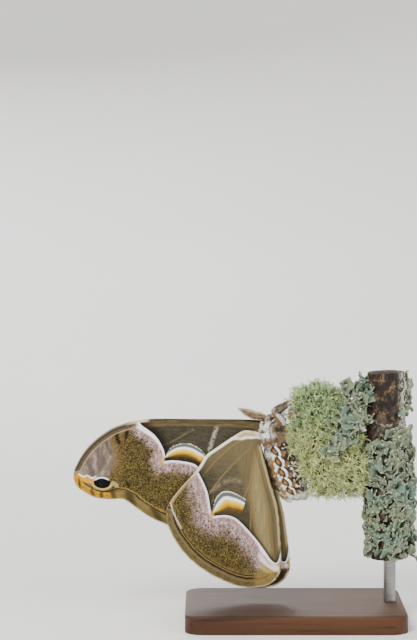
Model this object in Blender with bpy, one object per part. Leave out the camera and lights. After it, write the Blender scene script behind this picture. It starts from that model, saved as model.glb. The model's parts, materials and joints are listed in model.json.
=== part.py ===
"""Samia silk moth at life size, at rest on a short cut length of lichened branch.

The moth clings head up with its wings closed over its back. Its right side faces -Y,
its back and wings point to -X, and its legs hold the lichen at +X. Sizes are in
millimetres here and become metres when a mesh is made. +Z is up, and the origin is the
middle of the base's underside.
"""

import math
import random

import bmesh
import bpy
from mathutils import Matrix, Vector, noise
from mathutils.geometry import delaunay_2d_cdt

MM = 0.001
GAP = 0.3
WELD = 0.004
SIDES = (("right", -1), ("left", 1))
ACROSS = Vector((0, 1, 0))
UP = Vector((0, 0, 1))

# Display stand
BASE_WIDTH = 72.0
BASE_DEPTH = 52.0
BASE_HEIGHT = 6.0
BASE_CORNER = 6.0
BASE_EDGE = 0.8
ROD_RADIUS = 2.0

# Cut length of branch: foot and top of its middle line, and its mean radius
BRANCH_FOOT = Vector((31.5, 0.6, 20.7))
BRANCH_TOP = Vector((29.8, 0.0, 82.3))
BRANCH_RADIUS = 6.8
BRANCH_BUMP = 0.7

# Leafy lichen on the branch: lobes, each a small bent plate
LOBE_COUNT = 42
LOBE_LENGTH = (2.6, 4.4)
LOBE_HALF_WIDTH = (1.3, 2.3)
LOBE_HALF_THICKNESS = 0.3
LOBE_SPACING = 4.8
LOBE_SEED = 6

# Tuft of beard lichen: its core, and how far its strands reach
CORE_MIDDLE = Vector((16.0, 0.0, 59.5))
CORE_HALF = Vector((9.0, 6.0, 11.5))
TUFT_MIDDLE = Vector((12.6, 0.0, 60.2))
TUFT_HALF = Vector((15.2, 12.0, 19.0))
STRAND_COUNT = 84
STRAND_RADII = (0.42, 0.34, 0.27, 0.14)
STRAND_CURL = 2.2
STRAND_SEED = 11
STRAND_CLEARANCE = 0.75

# Body in stations down its middle line: x, z, half depth, half width
HEAD = ((-7.9, 65.8, 1.9, 2.2), (-8.2, 66.5, 2.2, 2.4), (-8.5, 67.4, 1.9, 2.1), (-8.8, 68.2, 0.9, 1.1))
THORAX = (
    (-7.7, 65.3, 2.3, 2.5),
    (-7.1, 63.9, 4.1, 4.0),
    (-6.4, 62.0, 5.2, 4.8),
    (-5.8, 60.2, 5.4, 4.9),
    (-5.2, 58.3, 5.0, 4.7),
)
ABDOMEN = (
    (-5.1, 57.95, 5.0, 4.7),
    (-4.5, 55.6, 5.5, 5.1),
    (-3.6, 52.5, 5.6, 5.3),
    (-2.6, 49.5, 5.6, 5.3),
    (-1.6, 46.5, 5.3, 5.0),
    (-0.5, 43.6, 4.6, 4.3),
    (0.3, 41.6, 3.2, 3.0),
    (0.7, 40.5, 1.5, 1.4),
)
BODY_SIDES = 16
SEGMENT_LENGTH = 2.7
SEGMENT_SWELL = 0.022
PALP = ((-6.9, 0.7, 66.4), (-5.9, 0.8, 67.2), (-5.0, 0.9, 68.0))
PALP_RADII = (0.6, 0.5, 0.3)
EYE_RADIUS = 1.05
EYE_PLACE = (-7.6, 2.0, 67.1)

# Feelers, right and left alike: a stem that sags a little, with a comb along both edges
ANTENNA_ROOT = (-10.5, 1.0, 68.2)
ANTENNA_TIP = (-19.0, 2.6, 70.2)
ANTENNA_SAG = 0.5
ANTENNA_STEM_RADII = (0.4, 0.25)
COMB_PAIRS = 11
COMB_LENGTH = 1.75
COMB_LEAN = math.radians(38)
COMB_LIFT = math.radians(18)
COMB_RADII = (0.27, 0.14)

# Legs: hip, knee, ankle and toe, and the radius at each
LEGS = {
    "foreleg": ((-2.4, 2.4, 65.2), (-7.4, 4.6, 69.8), (-2.3, 4.6, 71.7), (0.7, 3.6, 73.5)),
    "midleg": ((0.4, 3.4, 63.2), (-0.9, 5.9, 69.4), (3.3, 4.6, 67.6), (5.6, 3.4, 66.2)),
    "hindleg": ((1.2, 3.6, 60.0), (2.8, 6.2, 64.2), (4.2, 5.9, 59.2), (5.8, 4.8, 56.0)),
}
LEG_RADII = (1.0, 0.85, 0.5, 0.3)

# Wings: sheet thickness, and how far each layer stands from the middle plane
WING_THICKNESS = 0.5
WING_CENTRE = Vector((-11.0, 62.0))
FORE_STAND_OFF = 0.9
LAYER_STEP = 1.2
ROOT_SPREAD = 3.6
ROOT_FADE = 9.0
FLARE_FROM = 30.0
FLARE = 0.9
EDGE_STEP = 2.4
ROOT_PAD_HALF_HEIGHT = 1.8
ROOT_PAD_HALF_THICKNESS = 0.6
ROOT_PAD_REACH = Vector((4.5, -2.2, 0.0))
# Outlines: hinge as x and z, then points as distance out from it and height over it
FORE_HINGE = (-10.8, 64.0)
FORE_OUTLINE = (
    (0.0, 1.9), (7.2, 2.4), (20.3, 2.6), (37.7, 2.6), (47.2, 0.5), (52.6, -2.5), (56.7, -6.0),
    (59.5, -9.6), (61.1, -12.6), (61.9, -15.4), (61.6, -17.7), (60.3, -19.7), (58.1, -21.3),
    (54.4, -23.1), (49.9, -23.6), (46.4, -23.5), (44.2, -24.4), (40.3, -27.2), (36.4, -29.8),
    (31.5, -32.0), (26.2, -33.8), (22.6, -34.1), (20.3, -32.1), (15.4, -25.3), (7.2, -12.1),
    (1.2, -3.4), (0.0, -2.2),
)
HIND_HINGE = (-11.1, 60.0)
HIND_OUTLINE = (
    (0.0, 2.2), (1.3, 3.0), (5.2, 3.4), (8.2, 2.0), (14.8, -2.5), (18.0, -4.9), (20.3, -8.5),
    (22.8, -11.8), (25.9, -15.1), (28.5, -18.4), (30.3, -21.3), (31.0, -24.3), (30.5, -28.2),
    (27.9, -33.6), (23.6, -39.0), (17.1, -44.0), (8.9, -47.8), (3.6, -48.7), (-0.7, -48.4),
    (-3.9, -46.9), (-6.1, -44.0), (-6.6, -40.3), (-6.4, -34.4), (-5.4, -23.0), (-2.7, -13.1),
    (-0.8, -5.9), (0.0, -2.2),
)
# Veins: points as distance out from the hinge and height over it
VEIN_HALF_WIDTH = 0.45
VEIN_HEIGHT = 0.2
VEIN_STEP = 3.4
FORE_VEINS = (
    ((1.3, 0.8), (20.0, 0.9), (36.0, 0.4), (47.0, -2.6), (54.5, -8.5), (58.5, -14.0)),
    ((22.5, -0.5), (30.5, -5.0), (41.0, -9.0), (50.0, -13.6), (57.0, -18.6)),
    ((32.8, -9.4), (41.0, -13.6), (48.5, -18.0), (52.5, -21.6)),
    ((1.3, -0.3), (10.0, -4.6), (19.0, -10.2), (26.0, -12.6), (35.0, -17.2), (44.0, -22.6)),
    ((20.5, -12.2), (28.0, -18.6), (37.5, -27.4)),
    ((13.5, -8.0), (21.0, -18.6), (30.5, -31.0)),
    ((1.4, -1.4), (9.0, -8.8), (16.0, -19.4), (23.5, -32.6)),
)
HIND_VEINS = (
    ((1.2, 1.2), (8.0, -0.8), (16.0, -8.0), (22.5, -16.8), (28.8, -26.0)),
    ((1.3, 0.2), (4.6, -3.4), (12.2, -11.2), (19.0, -20.6), (26.0, -32.0)),
    ((16.0, -19.8), (19.6, -28.0), (22.6, -37.4)),
    ((1.4, -1.2), (3.4, -12.6), (6.0, -19.8), (10.6, -26.6), (16.6, -42.0)),
    ((6.2, -21.6), (8.6, -33.0), (10.8, -45.2)),
    ((2.8, -13.6), (3.4, -26.0), (4.2, -46.4)),
    ((0.7, -3.2), (0.9, -14.0), (-1.2, -28.0), (-1.6, -46.0)),
    ((-0.6, -9.6), (-2.0, -16.0), (-4.2, -28.0), (-4.9, -42.6)),
)
# The left hind wing hangs a little lower and further back than the right one
LEFT_HIND_TURN = math.radians(4.0)
LEFT_HIND_REACH = 1.02


def material(name, colour, roughness=0.7, metallic=0.0):
    """A Principled material of one colour."""
    made = bpy.data.materials.new(name)
    made.use_nodes = True
    shader = made.node_tree.nodes["Principled BSDF"]
    shader.inputs["Base Color"].default_value = (*colour, 1.0)
    shader.inputs["Roughness"].default_value = roughness
    shader.inputs["Metallic"].default_value = metallic
    return made


def add_object(name, bm, paint, collection):
    """An object in metres from a mesh in millimetres."""
    bm.transform(Matrix.Scale(MM, 4))
    mesh = bpy.data.meshes.new(name)
    bm.to_mesh(mesh)
    bm.free()
    mesh.materials.append(paint)
    made = bpy.data.objects.new(name, mesh)
    collection.objects.link(made)
    return made


def boolean(bm, others, operation, solver="EXACT"):
    """A closed mesh joined with others, or cut by them, as its largest closed surface."""
    hold = bpy.data.collections.new("joined")
    bpy.context.scene.collection.children.link(hold)
    for piece in (bm, *others):
        mesh = bpy.data.meshes.new("piece")
        piece.to_mesh(mesh)
        piece.free()
        hold.objects.link(bpy.data.objects.new("piece", mesh))
    body = hold.objects[0]
    pieces = list(hold.objects)
    hold.objects.unlink(body)
    bpy.context.scene.collection.objects.link(body)
    modifier = body.modifiers.new("join", "BOOLEAN")
    modifier.operation = operation
    modifier.operand_type = "COLLECTION"
    modifier.collection = hold
    modifier.solver = solver
    evaluated = body.evaluated_get(bpy.context.evaluated_depsgraph_get())
    joined = bmesh.new()
    joined.from_mesh(evaluated.to_mesh())
    evaluated.to_mesh_clear()
    for piece in pieces:
        bpy.data.objects.remove(piece)
    bpy.data.collections.remove(hold)
    bmesh.ops.triangulate(joined, faces=joined.faces)
    bmesh.ops.remove_doubles(joined, verts=joined.verts, dist=WELD)
    bmesh.ops.dissolve_degenerate(joined, edges=joined.edges, dist=WELD / 10)
    bmesh.ops.triangulate(joined, faces=joined.faces)
    return largest_surface(joined)


def largest_surface(bm):
    """The mesh with all but its largest closed surface deleted."""
    left = set(bm.faces)
    surfaces = []
    while left:
        start = left.pop()
        surface = {start}
        edge_of_growth = [start]
        while edge_of_growth:
            face = edge_of_growth.pop()
            near = {other for edge in face.edges for other in edge.link_faces} & left
            left -= near
            surface |= near
            edge_of_growth += near
        surfaces.append(surface)
    surfaces.sort(key=lambda surface: sum(face.calc_area() for face in surface))
    for surface in surfaces[:-1]:
        bmesh.ops.delete(bm, geom=list(surface), context="FACES")
    return bm


def ring(centre, half_a, half_b, sides):
    """Points of the ellipse about centre that two half axes give."""
    turns = [2 * math.pi * i / sides for i in range(sides)]
    return [centre + half_a * math.cos(t) + half_b * math.sin(t) for t in turns]


def loft(rings):
    """A closed mesh through rings of points, flat at both ends."""
    bm = bmesh.new()
    rows = [[bm.verts.new(point) for point in points] for points in rings]
    for low, high in zip(rows, rows[1:]):
        for i in range(len(low)):
            j = (i + 1) % len(low)
            bm.faces.new((low[i], low[j], high[j], high[i]))
    bm.faces.new(rows[0][::-1])
    bm.faces.new(rows[-1])
    bmesh.ops.recalc_face_normals(bm, faces=bm.faces)
    bmesh.ops.triangulate(bm, faces=bm.faces)
    return bm


def direction(points, i):
    """Which way a path runs at its point i."""
    return (points[min(i + 1, len(points) - 1)] - points[max(i - 1, 0)]).normalized()


def tube(path, radii, sides=7):
    """A round, tapering tube along a path, with a radius at each point."""
    run = (path[-1] - path[0]).normalized()
    away = min((Vector((1, 0, 0)), ACROSS, UP), key=lambda axis: abs(axis.dot(run)))
    rings = []
    for i, radius in enumerate(radii):
        along = direction(path, i)
        side = along.cross(away).normalized()
        rings.append(ring(path[i], side * radius, along.cross(side) * radius, sides))
    return loft(rings)


def body_loft(stations, bump=0.0):
    """A closed length of the body from its stations, with a swell on each segment."""
    middles = [Vector((station[0], 0, station[1])) for station in stations]
    rings = []
    travelled = 0.0
    for i, (x, z, depth, width) in enumerate(stations):
        travelled += (middles[i] - middles[max(i - 1, 0)]).length
        swell = 1 + bump * math.cos(2 * math.pi * travelled / SEGMENT_LENGTH)
        in_plane = direction(middles, i).cross(ACROSS) * depth * swell
        rings.append(ring(middles[i], in_plane, ACROSS * width * swell, BODY_SIDES))
    return loft(rings)


def spline(points, t):
    """A point on the smooth curve through points, with t counted in spans."""
    i = min(int(t), len(points) - 2)
    start, end = points[i], points[i + 1]
    before = points[i - 1] if i else 2 * start - end
    after = points[i + 2] if i + 2 < len(points) else 2 * end - start
    s = t - i
    return 0.5 * (
        2 * start
        + (end - before) * s
        + (2 * before - 5 * start + 4 * end - after) * s**2
        + (3 * start - before - 3 * end + after) * s**3
    )


def smooth(points, step):
    """Points about a step apart on the smooth curve through the given ones."""
    points = [Vector(point) for point in points]
    fine = []
    for i in range(len(points) - 1):
        count = max(1, round((points[i + 1] - points[i]).length / step))
        fine += [spline(points, i + k / count) for k in range(count)]
    return fine + [points[-1]]


def on_side(place, side):
    """A right-side place, mirrored for the left side."""
    x, across, z = place
    return Vector((x, side * across, z))


def ball(centre, radius):
    """A closed round ball."""
    bm = bmesh.new()
    place = Matrix.Translation(centre)
    bmesh.ops.create_uvsphere(bm, u_segments=14, v_segments=9, radius=radius, matrix=place)
    bmesh.ops.triangulate(bm, faces=bm.faces)
    return bm


def lean(x, z, layer):
    """How far a wing layer stands from the middle plane at a place in side view."""
    away = (Vector((x, z)) - WING_CENTRE).length
    flare = FLARE * (max(0.0, away - FLARE_FROM) / FLARE_FROM) ** 2
    return FORE_STAND_OFF + layer * LAYER_STEP + ROOT_SPREAD * math.exp(-away / ROOT_FADE) + flare


def wing(side, layer, hinge, outline, veins, turn=0.0, reach=1.0):
    """A thin closed sheet with ridged veins, and like triangles on both faces."""
    turned = Matrix.Rotation(turn, 2) * reach

    def placed(points, step):
        return [Vector(hinge) + turned @ Vector((-out, up)) for out, up in smooth(points, step)]

    points = placed(outline, EDGE_STEP)
    lines = [(i, (i + 1) % len(points)) for i in range(len(points))]
    edge_count = len(points)
    crests = [placed(vein, VEIN_STEP) for vein in veins]
    for crest in crests:
        flanks = [vein_flank(crest, flank) for flank in (1, -1)]
        for line in (crest, [crest[0], *flanks[0], crest[-1]], [crest[0], *flanks[1], crest[-1]]):
            lines += [(len(points) + i, len(points) + i + 1) for i in range(len(line) - 1)]
            points += line
    points += inner_points(points[:edge_count], points[edge_count:])
    places, lines, faces = delaunay_2d_cdt(points, lines, [], 1, 1e-3)[:3]
    sheet = bmesh.new()
    skins = []
    for face_side in (1, -1):
        skin = []
        for place in places:
            half = WING_THICKNESS / 2 + vein_height(place, crests)
            across = lean(place.x, place.y, layer) + face_side * half
            skin.append(sheet.verts.new((place.x, side * across, place.y)))
        skins.append(skin)
    outer, back = skins
    for face in faces:
        sheet.faces.new([outer[i] for i in face])
        sheet.faces.new([back[i] for i in reversed(face)])
    rim = [edge for edge in sheet.edges if edge.is_boundary and edge.verts[0] in set(outer)]
    partner = dict(zip(outer, back))
    for edge in rim:
        a, b = edge.verts
        sheet.faces.new((a, b, partner[b], partner[a]))
    bmesh.ops.recalc_face_normals(sheet, faces=sheet.faces)
    bmesh.ops.triangulate(sheet, faces=sheet.faces)
    return sheet


def vein_flank(crest, flank):
    """The foot of a vein's ridge on one side, short of its two ends."""
    foot = []
    for i in range(1, len(crest) - 1):
        along = direction(crest, i)
        foot.append(crest[i] + Vector((-along.y, along.x)) * flank * VEIN_HALF_WIDTH)
    return foot


def vein_height(place, crests):
    """How far the nearest vein raises the sheet at a place."""
    height = 0.0
    for crest in crests:
        for i, (a, b) in enumerate(zip(crest, crest[1:])):
            span = b - a
            t = min(max((place - a).dot(span) / span.length_squared, 0.0), 1.0)
            off = (place - a - span * t).length
            ends = min(i + t, len(crest) - 1 - i - t, 1.0)
            height = max(height, ends * (1 - off / VEIN_HALF_WIDTH))
    return VEIN_HEIGHT * height


def inner_points(edge, veins, near=4.0, far=8.0, clear=1.6):
    """Staggered points inside an outline, closer together round the wing's root."""
    low_x, high_x = min(p.x for p in edge), max(p.x for p in edge)
    low_z, high_z = min(p.y for p in edge), max(p.y for p in edge)
    kept = []
    for spacing in (near, far):
        rows = int((high_z - low_z) / (spacing * 0.87)) + 1
        columns = int((high_x - low_x) / spacing) + 1
        for row in range(rows):
            for column in range(columns):
                shift = spacing / 2 if row % 2 else 0.0
                place = Vector((low_x + column * spacing + shift, low_z + row * spacing * 0.87))
                close = (place - WING_CENTRE).length < 20
                if close != (spacing == near) or not inside(place, edge):
                    continue
                if min((place - other).length for other in edge + veins + kept) > clear:
                    kept.append(place)
    return kept


def inside(place, edge):
    """Whether a place lies inside a closed outline."""
    crossings = 0
    for a, b in zip(edge, edge[1:] + edge[:1]):
        if (a.y > place.y) != (b.y > place.y):
            crossings += place.x < a.x + (place.y - a.y) / (b.y - a.y) * (b.x - a.x)
    return crossings % 2 == 1


def root_pad(side, layer, hinge):
    """The thorax's hinge plate for one wing, which ends a gap short of the wing's root."""
    x, z = hinge
    mouth = Vector((x + GAP, side * lean(x, z, layer), z))
    root = mouth + on_side(ROOT_PAD_REACH, side)
    rings = []
    for place in (mouth, mouth.lerp(root, 0.5), root):
        rings.append(ring(place, UP * ROOT_PAD_HALF_HEIGHT, ACROSS * ROOT_PAD_HALF_THICKNESS, 10))
    return loft(rings)


def leg(joints, side):
    """One leg as its three tapering lengths, fused at knee and ankle."""
    places = [on_side(joint, side) for joint in joints]
    lengths = []
    for i in range(len(places) - 1):
        start, end = places[i], places[i + 1]
        along = (end - start).normalized()
        thick, thin = LEG_RADII[i], LEG_RADII[i + 1]
        path = [start, start + along * thick * 0.5, end - along * thin * 0.5, end + along * thin * 0.4]
        lengths.append(tube(path, (thick * 0.8, thick, thin, thin * 0.6), sides=8))
    return boolean(lengths[0], lengths[1:], "UNION")


def antenna(side):
    """A feathered feeler: a tapering stem with a comb of teeth along both edges."""
    root, tip = on_side(ANTENNA_ROOT, side), on_side(ANTENNA_TIP, side)
    along = (tip - root).normalized()
    flat = along.cross(ACROSS).normalized()
    stem_steps = 8
    stem = [stem_point(root, tip, i / stem_steps) for i in range(stem_steps + 1)]
    thick, thin = ANTENNA_STEM_RADII
    pieces = [tube(stem, [thick + (thin - thick) * i / stem_steps for i in range(stem_steps + 1)], 6)]
    for pair in range(COMB_PAIRS):
        t = 0.1 + 0.84 * pair / (COMB_PAIRS - 1)
        start = stem_point(root, tip, t)
        length = COMB_LENGTH * (0.35 + 0.65 * math.sin(math.pi * t**0.9)) * (1.0 - 0.25 * t)
        for edge in (1, -1):
            out = flat * edge * math.cos(COMB_LEAN) + along * math.sin(COMB_LEAN)
            lift = ACROSS * side * math.sin(COMB_LIFT)
            pieces.append(tube([start, start + (out + lift) * length], COMB_RADII, 4))
    return boolean(pieces[0], pieces[1:], "UNION")


def stem_point(root, tip, t):
    """A point on a feeler's stem, which sags a little between its ends."""
    return root.lerp(tip, t) - UP * ANTENNA_SAG * math.sin(math.pi * t)


def branch(extra=0.0, longer=0.0):
    """The cut branch, with an uneven round section."""
    run = (BRANCH_TOP - BRANCH_FOOT).normalized()
    foot, top = BRANCH_FOOT - run * longer, BRANCH_TOP + run * longer
    side = run.cross(ACROSS).normalized()
    rings = []
    steps = 10
    for i in range(steps + 1):
        middle = foot.lerp(top, i / steps)
        points = ring(middle, side * BRANCH_RADIUS, run.cross(side) * BRANCH_RADIUS, 16)
        bumped = []
        for point in points:
            out = (point - middle).normalized()
            swell = BRANCH_BUMP * noise.noise(point / 9.0)
            bumped.append(point + out * (swell + extra))
        rings.append(bumped)
    return loft(rings)


def in_ellipsoid(place, middle, half):
    """How far out a place is, as a share of the way to an ellipsoid's surface."""
    return Vector(((p - m) / h for p, m, h in zip(place, middle, half))).length


def lobed_branch():
    """The branch with the leafy lichen that grows on it, clear of the beard lichen."""
    draw = random.Random(LOBE_SEED)
    run = (BRANCH_TOP - BRANCH_FOOT).normalized()
    side = run.cross(ACROSS).normalized()
    pieces = [branch()]
    roots = []
    while len(roots) < LOBE_COUNT:
        t = draw.uniform(0.08, 0.92)
        turn = draw.uniform(0, 2 * math.pi)
        out = side * math.cos(turn) + run.cross(side) * math.sin(turn)
        length = draw.uniform(*LOBE_LENGTH)
        width = draw.uniform(*LOBE_HALF_WIDTH)
        droop = run * draw.choice((1, -1)) * draw.uniform(0.4, 1.0)
        root = BRANCH_FOOT.lerp(BRANCH_TOP, t) + out * (BRANCH_RADIUS - 1.6)
        if in_ellipsoid(root + out * length, TUFT_MIDDLE, TUFT_HALF * 1.15) < 1:
            continue
        if any((root - other).length < LOBE_SPACING for other in roots):
            continue
        roots.append(root)
        spread = out.cross(run).normalized()
        rings = []
        for share, wide in ((0.0, 0.7), (0.55, 1.0), (0.85, 0.9), (1.0, 0.4)):
            reach = length * share + 1.0 * (share > 0)
            middle = root + out * reach + droop * length * share**2
            thick = (out + droop * 2 * share).normalized().cross(spread) * LOBE_HALF_THICKNESS
            rings.append(ring(middle, spread * width * wide, thick, 6))
        pieces.append(loft(rings))
    return boolean(pieces[0], pieces[1:], "UNION", "MANIFOLD")


def room_beside_moth(place):
    """The distance from a place to the nearest part of the moth that faces the lichen."""
    room = min(room_beside_body(place, THORAX), room_beside_body(place, ABDOMEN))
    room = min(room, room_beside_body(place, HEAD))
    for joints in LEGS.values():
        for side_name, side in SIDES:
            joint_places = [on_side(joint, side) for joint in joints]
            for i in range(len(joint_places) - 1):
                span = joint_places[i + 1] - joint_places[i]
                t = (place - joint_places[i]).dot(span) / span.length_squared
                nearest = joint_places[i] + span * min(max(t, -0.1), 1.1)
                room = min(room, (place - nearest).length - LEG_RADII[i])
    return room


def room_beside_body(place, stations):
    """The distance from a place to a length of the body, taken as balls on its stations."""
    room = 100.0
    for x, z, depth, width in stations:
        off = place - Vector((x, 0, z))
        room = min(room, Vector((off.x / depth, off.y / width, off.z / depth)).length * width - width)
    return room


def strand(draw, start, end):
    """One lichen strand with a random curl, or nothing where the moth is in its way."""
    reach = (end - start).length
    curl = Vector((draw.uniform(-1, 1), draw.uniform(-1, 1), draw.uniform(-1, 1))) * STRAND_CURL
    path = []
    spans = len(STRAND_RADII) - 1
    for i in range(spans + 1):
        t = i / spans
        path.append(start.lerp(end, t) + curl * math.sin(math.pi * t) * reach / 14)
    if min(room_beside_moth(place) for place in smooth(path, 0.8)) < STRAND_CLEARANCE:
        return None
    return path


def tuft():
    """The clump of beard lichen: a core hidden in strands, cut clear of the branch."""
    draw = random.Random(STRAND_SEED)
    core = bmesh.new()
    bmesh.ops.create_uvsphere(core, u_segments=14, v_segments=10, radius=1.0)
    for vert in core.verts:
        swell = 1 + 0.1 * noise.noise(vert.co * 2.3)
        vert.co = CORE_MIDDLE + Vector(a * b for a, b in zip(vert.co, CORE_HALF)) * swell
    bmesh.ops.triangulate(core, faces=core.faces)
    pieces = [boolean(core, [branch(extra=GAP, longer=2.0)], "DIFFERENCE")]
    made = 0
    while made < STRAND_COUNT:
        aim = Vector((draw.uniform(-1.3, 0.75), draw.uniform(-1, 1), draw.uniform(-1, 1))).normalized()
        start = CORE_MIDDLE + Vector(a * b for a, b in zip(aim, CORE_HALF)) * 0.9
        spread = (aim + Vector([draw.uniform(-0.25, 0.25) for axis in "xyz"])).normalized()
        end = TUFT_MIDDLE + Vector(a * b for a, b in zip(spread, TUFT_HALF)) * draw.uniform(0.82, 1.0)
        if end.x > BRANCH_TOP.x - BRANCH_RADIUS - 1.5:
            continue
        path = strand(draw, start, end)
        if path is None:
            continue
        pieces.append(tube(path, STRAND_RADII, 4))
        made += 1
    return boolean(pieces[0], pieces[1:], "UNION")


def stand_base():
    """The flat base, with round corners and a broken top edge."""
    bm = bmesh.new()
    bmesh.ops.create_cube(bm, size=1.0)
    bm.transform(Matrix.Diagonal((BASE_WIDTH, BASE_DEPTH, BASE_HEIGHT, 1)))
    bm.transform(Matrix.Translation((0, 0, BASE_HEIGHT / 2)))
    upright = [edge for edge in bm.edges if abs(edge.verts[0].co.z - edge.verts[1].co.z) > 1]
    bmesh.ops.bevel(bm, geom=upright, offset=BASE_CORNER, segments=6, profile=0.5, affect="EDGES")
    top = [edge for edge in bm.edges if all(vert.co.z > BASE_HEIGHT - 0.01 for vert in edge.verts)]
    bmesh.ops.bevel(bm, geom=top, offset=BASE_EDGE, segments=2, profile=0.5, affect="EDGES")
    bmesh.ops.triangulate(bm, faces=bm.faces)
    return bm


def stand_rod():
    """The short rod from the base up to the foot of the branch."""
    foot = Vector((BRANCH_FOOT.x, BRANCH_FOOT.y, BASE_HEIGHT + GAP))
    top = Vector((BRANCH_FOOT.x, BRANCH_FOOT.y, BRANCH_FOOT.z - GAP))
    return loft([ring(place, Vector((ROD_RADIUS, 0, 0)), ACROSS * ROD_RADIUS, 20) for place in (foot, top)])


for old in list(bpy.data.objects):
    bpy.data.objects.remove(old)

moth = bpy.data.collections.new("samia_silk_moth")
bpy.context.scene.collection.children.link(moth)

brown_scales = material("wing_scales", (0.30, 0.24, 0.14))
white_fur = material("body_fur", (0.78, 0.72, 0.60), 0.9)
ochre_fur = material("leg_fur", (0.55, 0.36, 0.17), 0.9)
dark_eye = material("eye", (0.03, 0.02, 0.015), 0.2)
bark = material("bark", (0.16, 0.11, 0.07), 0.9)
green_lichen = material("lichen", (0.48, 0.56, 0.30), 0.9)
black_paint = material("stand_paint", (0.05, 0.05, 0.05), 0.4)

sockets = [ball(on_side(EYE_PLACE, side), EYE_RADIUS + GAP) for name, side in SIDES]
palps = [tube([on_side(place, side) for place in PALP], PALP_RADII) for name, side in SIDES]
face = boolean(body_loft(HEAD), palps, "UNION")
add_object("head", boolean(face, sockets, "DIFFERENCE"), ochre_fur, moth)

pads = []
for side_name, side in SIDES:
    pads.append(root_pad(side, 0, FORE_HINGE))
    pads.append(root_pad(side, 1, HIND_HINGE))
add_object("thorax", boolean(body_loft(THORAX), pads, "UNION"), white_fur, moth)
segments = smooth(ABDOMEN, SEGMENT_LENGTH / 3)
add_object("abdomen", body_loft(segments, SEGMENT_SWELL), white_fur, moth)

for side_name, side in SIDES:
    add_object("eye_" + side_name, ball(on_side(EYE_PLACE, side), EYE_RADIUS), dark_eye, moth)
    add_object("antenna_" + side_name, antenna(side), ochre_fur, moth)
    fore = wing(side, 0, FORE_HINGE, FORE_OUTLINE, FORE_VEINS)
    add_object("forewing_" + side_name, fore, brown_scales, moth)
    for leg_name, joints in LEGS.items():
        add_object(leg_name + "_" + side_name, leg(joints, side), ochre_fur, moth)

right_hind = wing(-1, 1, HIND_HINGE, HIND_OUTLINE, HIND_VEINS)
left_hind = wing(1, 1, HIND_HINGE, HIND_OUTLINE, HIND_VEINS, LEFT_HIND_TURN, LEFT_HIND_REACH)
add_object("hindwing_right", right_hind, brown_scales, moth)
add_object("hindwing_left", left_hind, brown_scales, moth)

add_object("perch_branch", lobed_branch(), bark, moth)
add_object("perch_lichen", tuft(), green_lichen, moth)
add_object("stand_base", stand_base(), black_paint, moth)
add_object("stand_rod", stand_rod(), black_paint, moth)
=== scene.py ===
"""Looks of the life-size silk moth on its lichened perch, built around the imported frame.

Sizes and places are in millimetres, as in the solids, and become metres when a mesh is
made. The moth's right side faces -Y, its back and wings -X, and its legs +X.
"""

import json
import math
import random

import bmesh
import bpy
import numpy as np
from mathutils import Matrix, Vector, noise
from mathutils.geometry import delaunay_2d_cdt

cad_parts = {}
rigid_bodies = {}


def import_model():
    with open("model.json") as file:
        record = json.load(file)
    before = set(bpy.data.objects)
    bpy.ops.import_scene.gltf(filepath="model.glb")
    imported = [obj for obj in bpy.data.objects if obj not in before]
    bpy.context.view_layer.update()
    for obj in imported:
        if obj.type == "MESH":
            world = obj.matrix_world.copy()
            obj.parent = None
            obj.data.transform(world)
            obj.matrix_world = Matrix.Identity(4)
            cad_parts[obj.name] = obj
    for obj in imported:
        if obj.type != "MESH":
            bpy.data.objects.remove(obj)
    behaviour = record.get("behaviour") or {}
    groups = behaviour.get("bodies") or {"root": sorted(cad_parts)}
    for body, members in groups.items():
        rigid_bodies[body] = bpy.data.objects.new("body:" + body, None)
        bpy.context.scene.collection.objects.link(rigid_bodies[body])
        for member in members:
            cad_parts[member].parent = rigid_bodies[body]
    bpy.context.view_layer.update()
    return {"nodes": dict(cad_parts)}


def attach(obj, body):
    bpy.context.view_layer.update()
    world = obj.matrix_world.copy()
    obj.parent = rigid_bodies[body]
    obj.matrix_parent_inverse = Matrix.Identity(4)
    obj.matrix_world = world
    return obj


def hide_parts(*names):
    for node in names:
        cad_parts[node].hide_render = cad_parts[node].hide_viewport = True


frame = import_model()

# Studio: a plain pale floor that sweeps up into a wall all round, three soft lights and a
# camera with a long lens, turned down a little, at the distance where the wing plane has
# the photograph's scale of 0.328 mm a pixel.
MM = 0.001
FLOOR_REACH = 0.5
SWEEP_RADIUS = 0.8
WALL_HEIGHT = 1.2
PHOTO_SCALE = 0.328
PHOTO_SIZE = (417, 640)
PHOTO_ORIGIN = (295, 623)
LENS = 135.0
SENSOR = 36.0
CAMERA_RISE = math.radians(4.0)


def shade(red, green, blue):
    """A colour from its 0 to 255 values on screen, as the light values that shaders use.

    It is made a little deeper and stronger, because the pale studio greys and lifts it.
    """
    parts = []
    for part in (red, green, blue):
        share = part / 255
        parts.append(share / 12.92 if share <= 0.04045 else ((share + 0.055) / 1.055) ** 2.4)
    grey = 0.2126 * parts[0] + 0.7152 * parts[1] + 0.0722 * parts[2]
    deeper = 0.6 + 0.34 * grey
    return (*(max(0.0, (grey + (part - grey) * 1.08) * deeper) for part in parts), 1.0)


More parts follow.
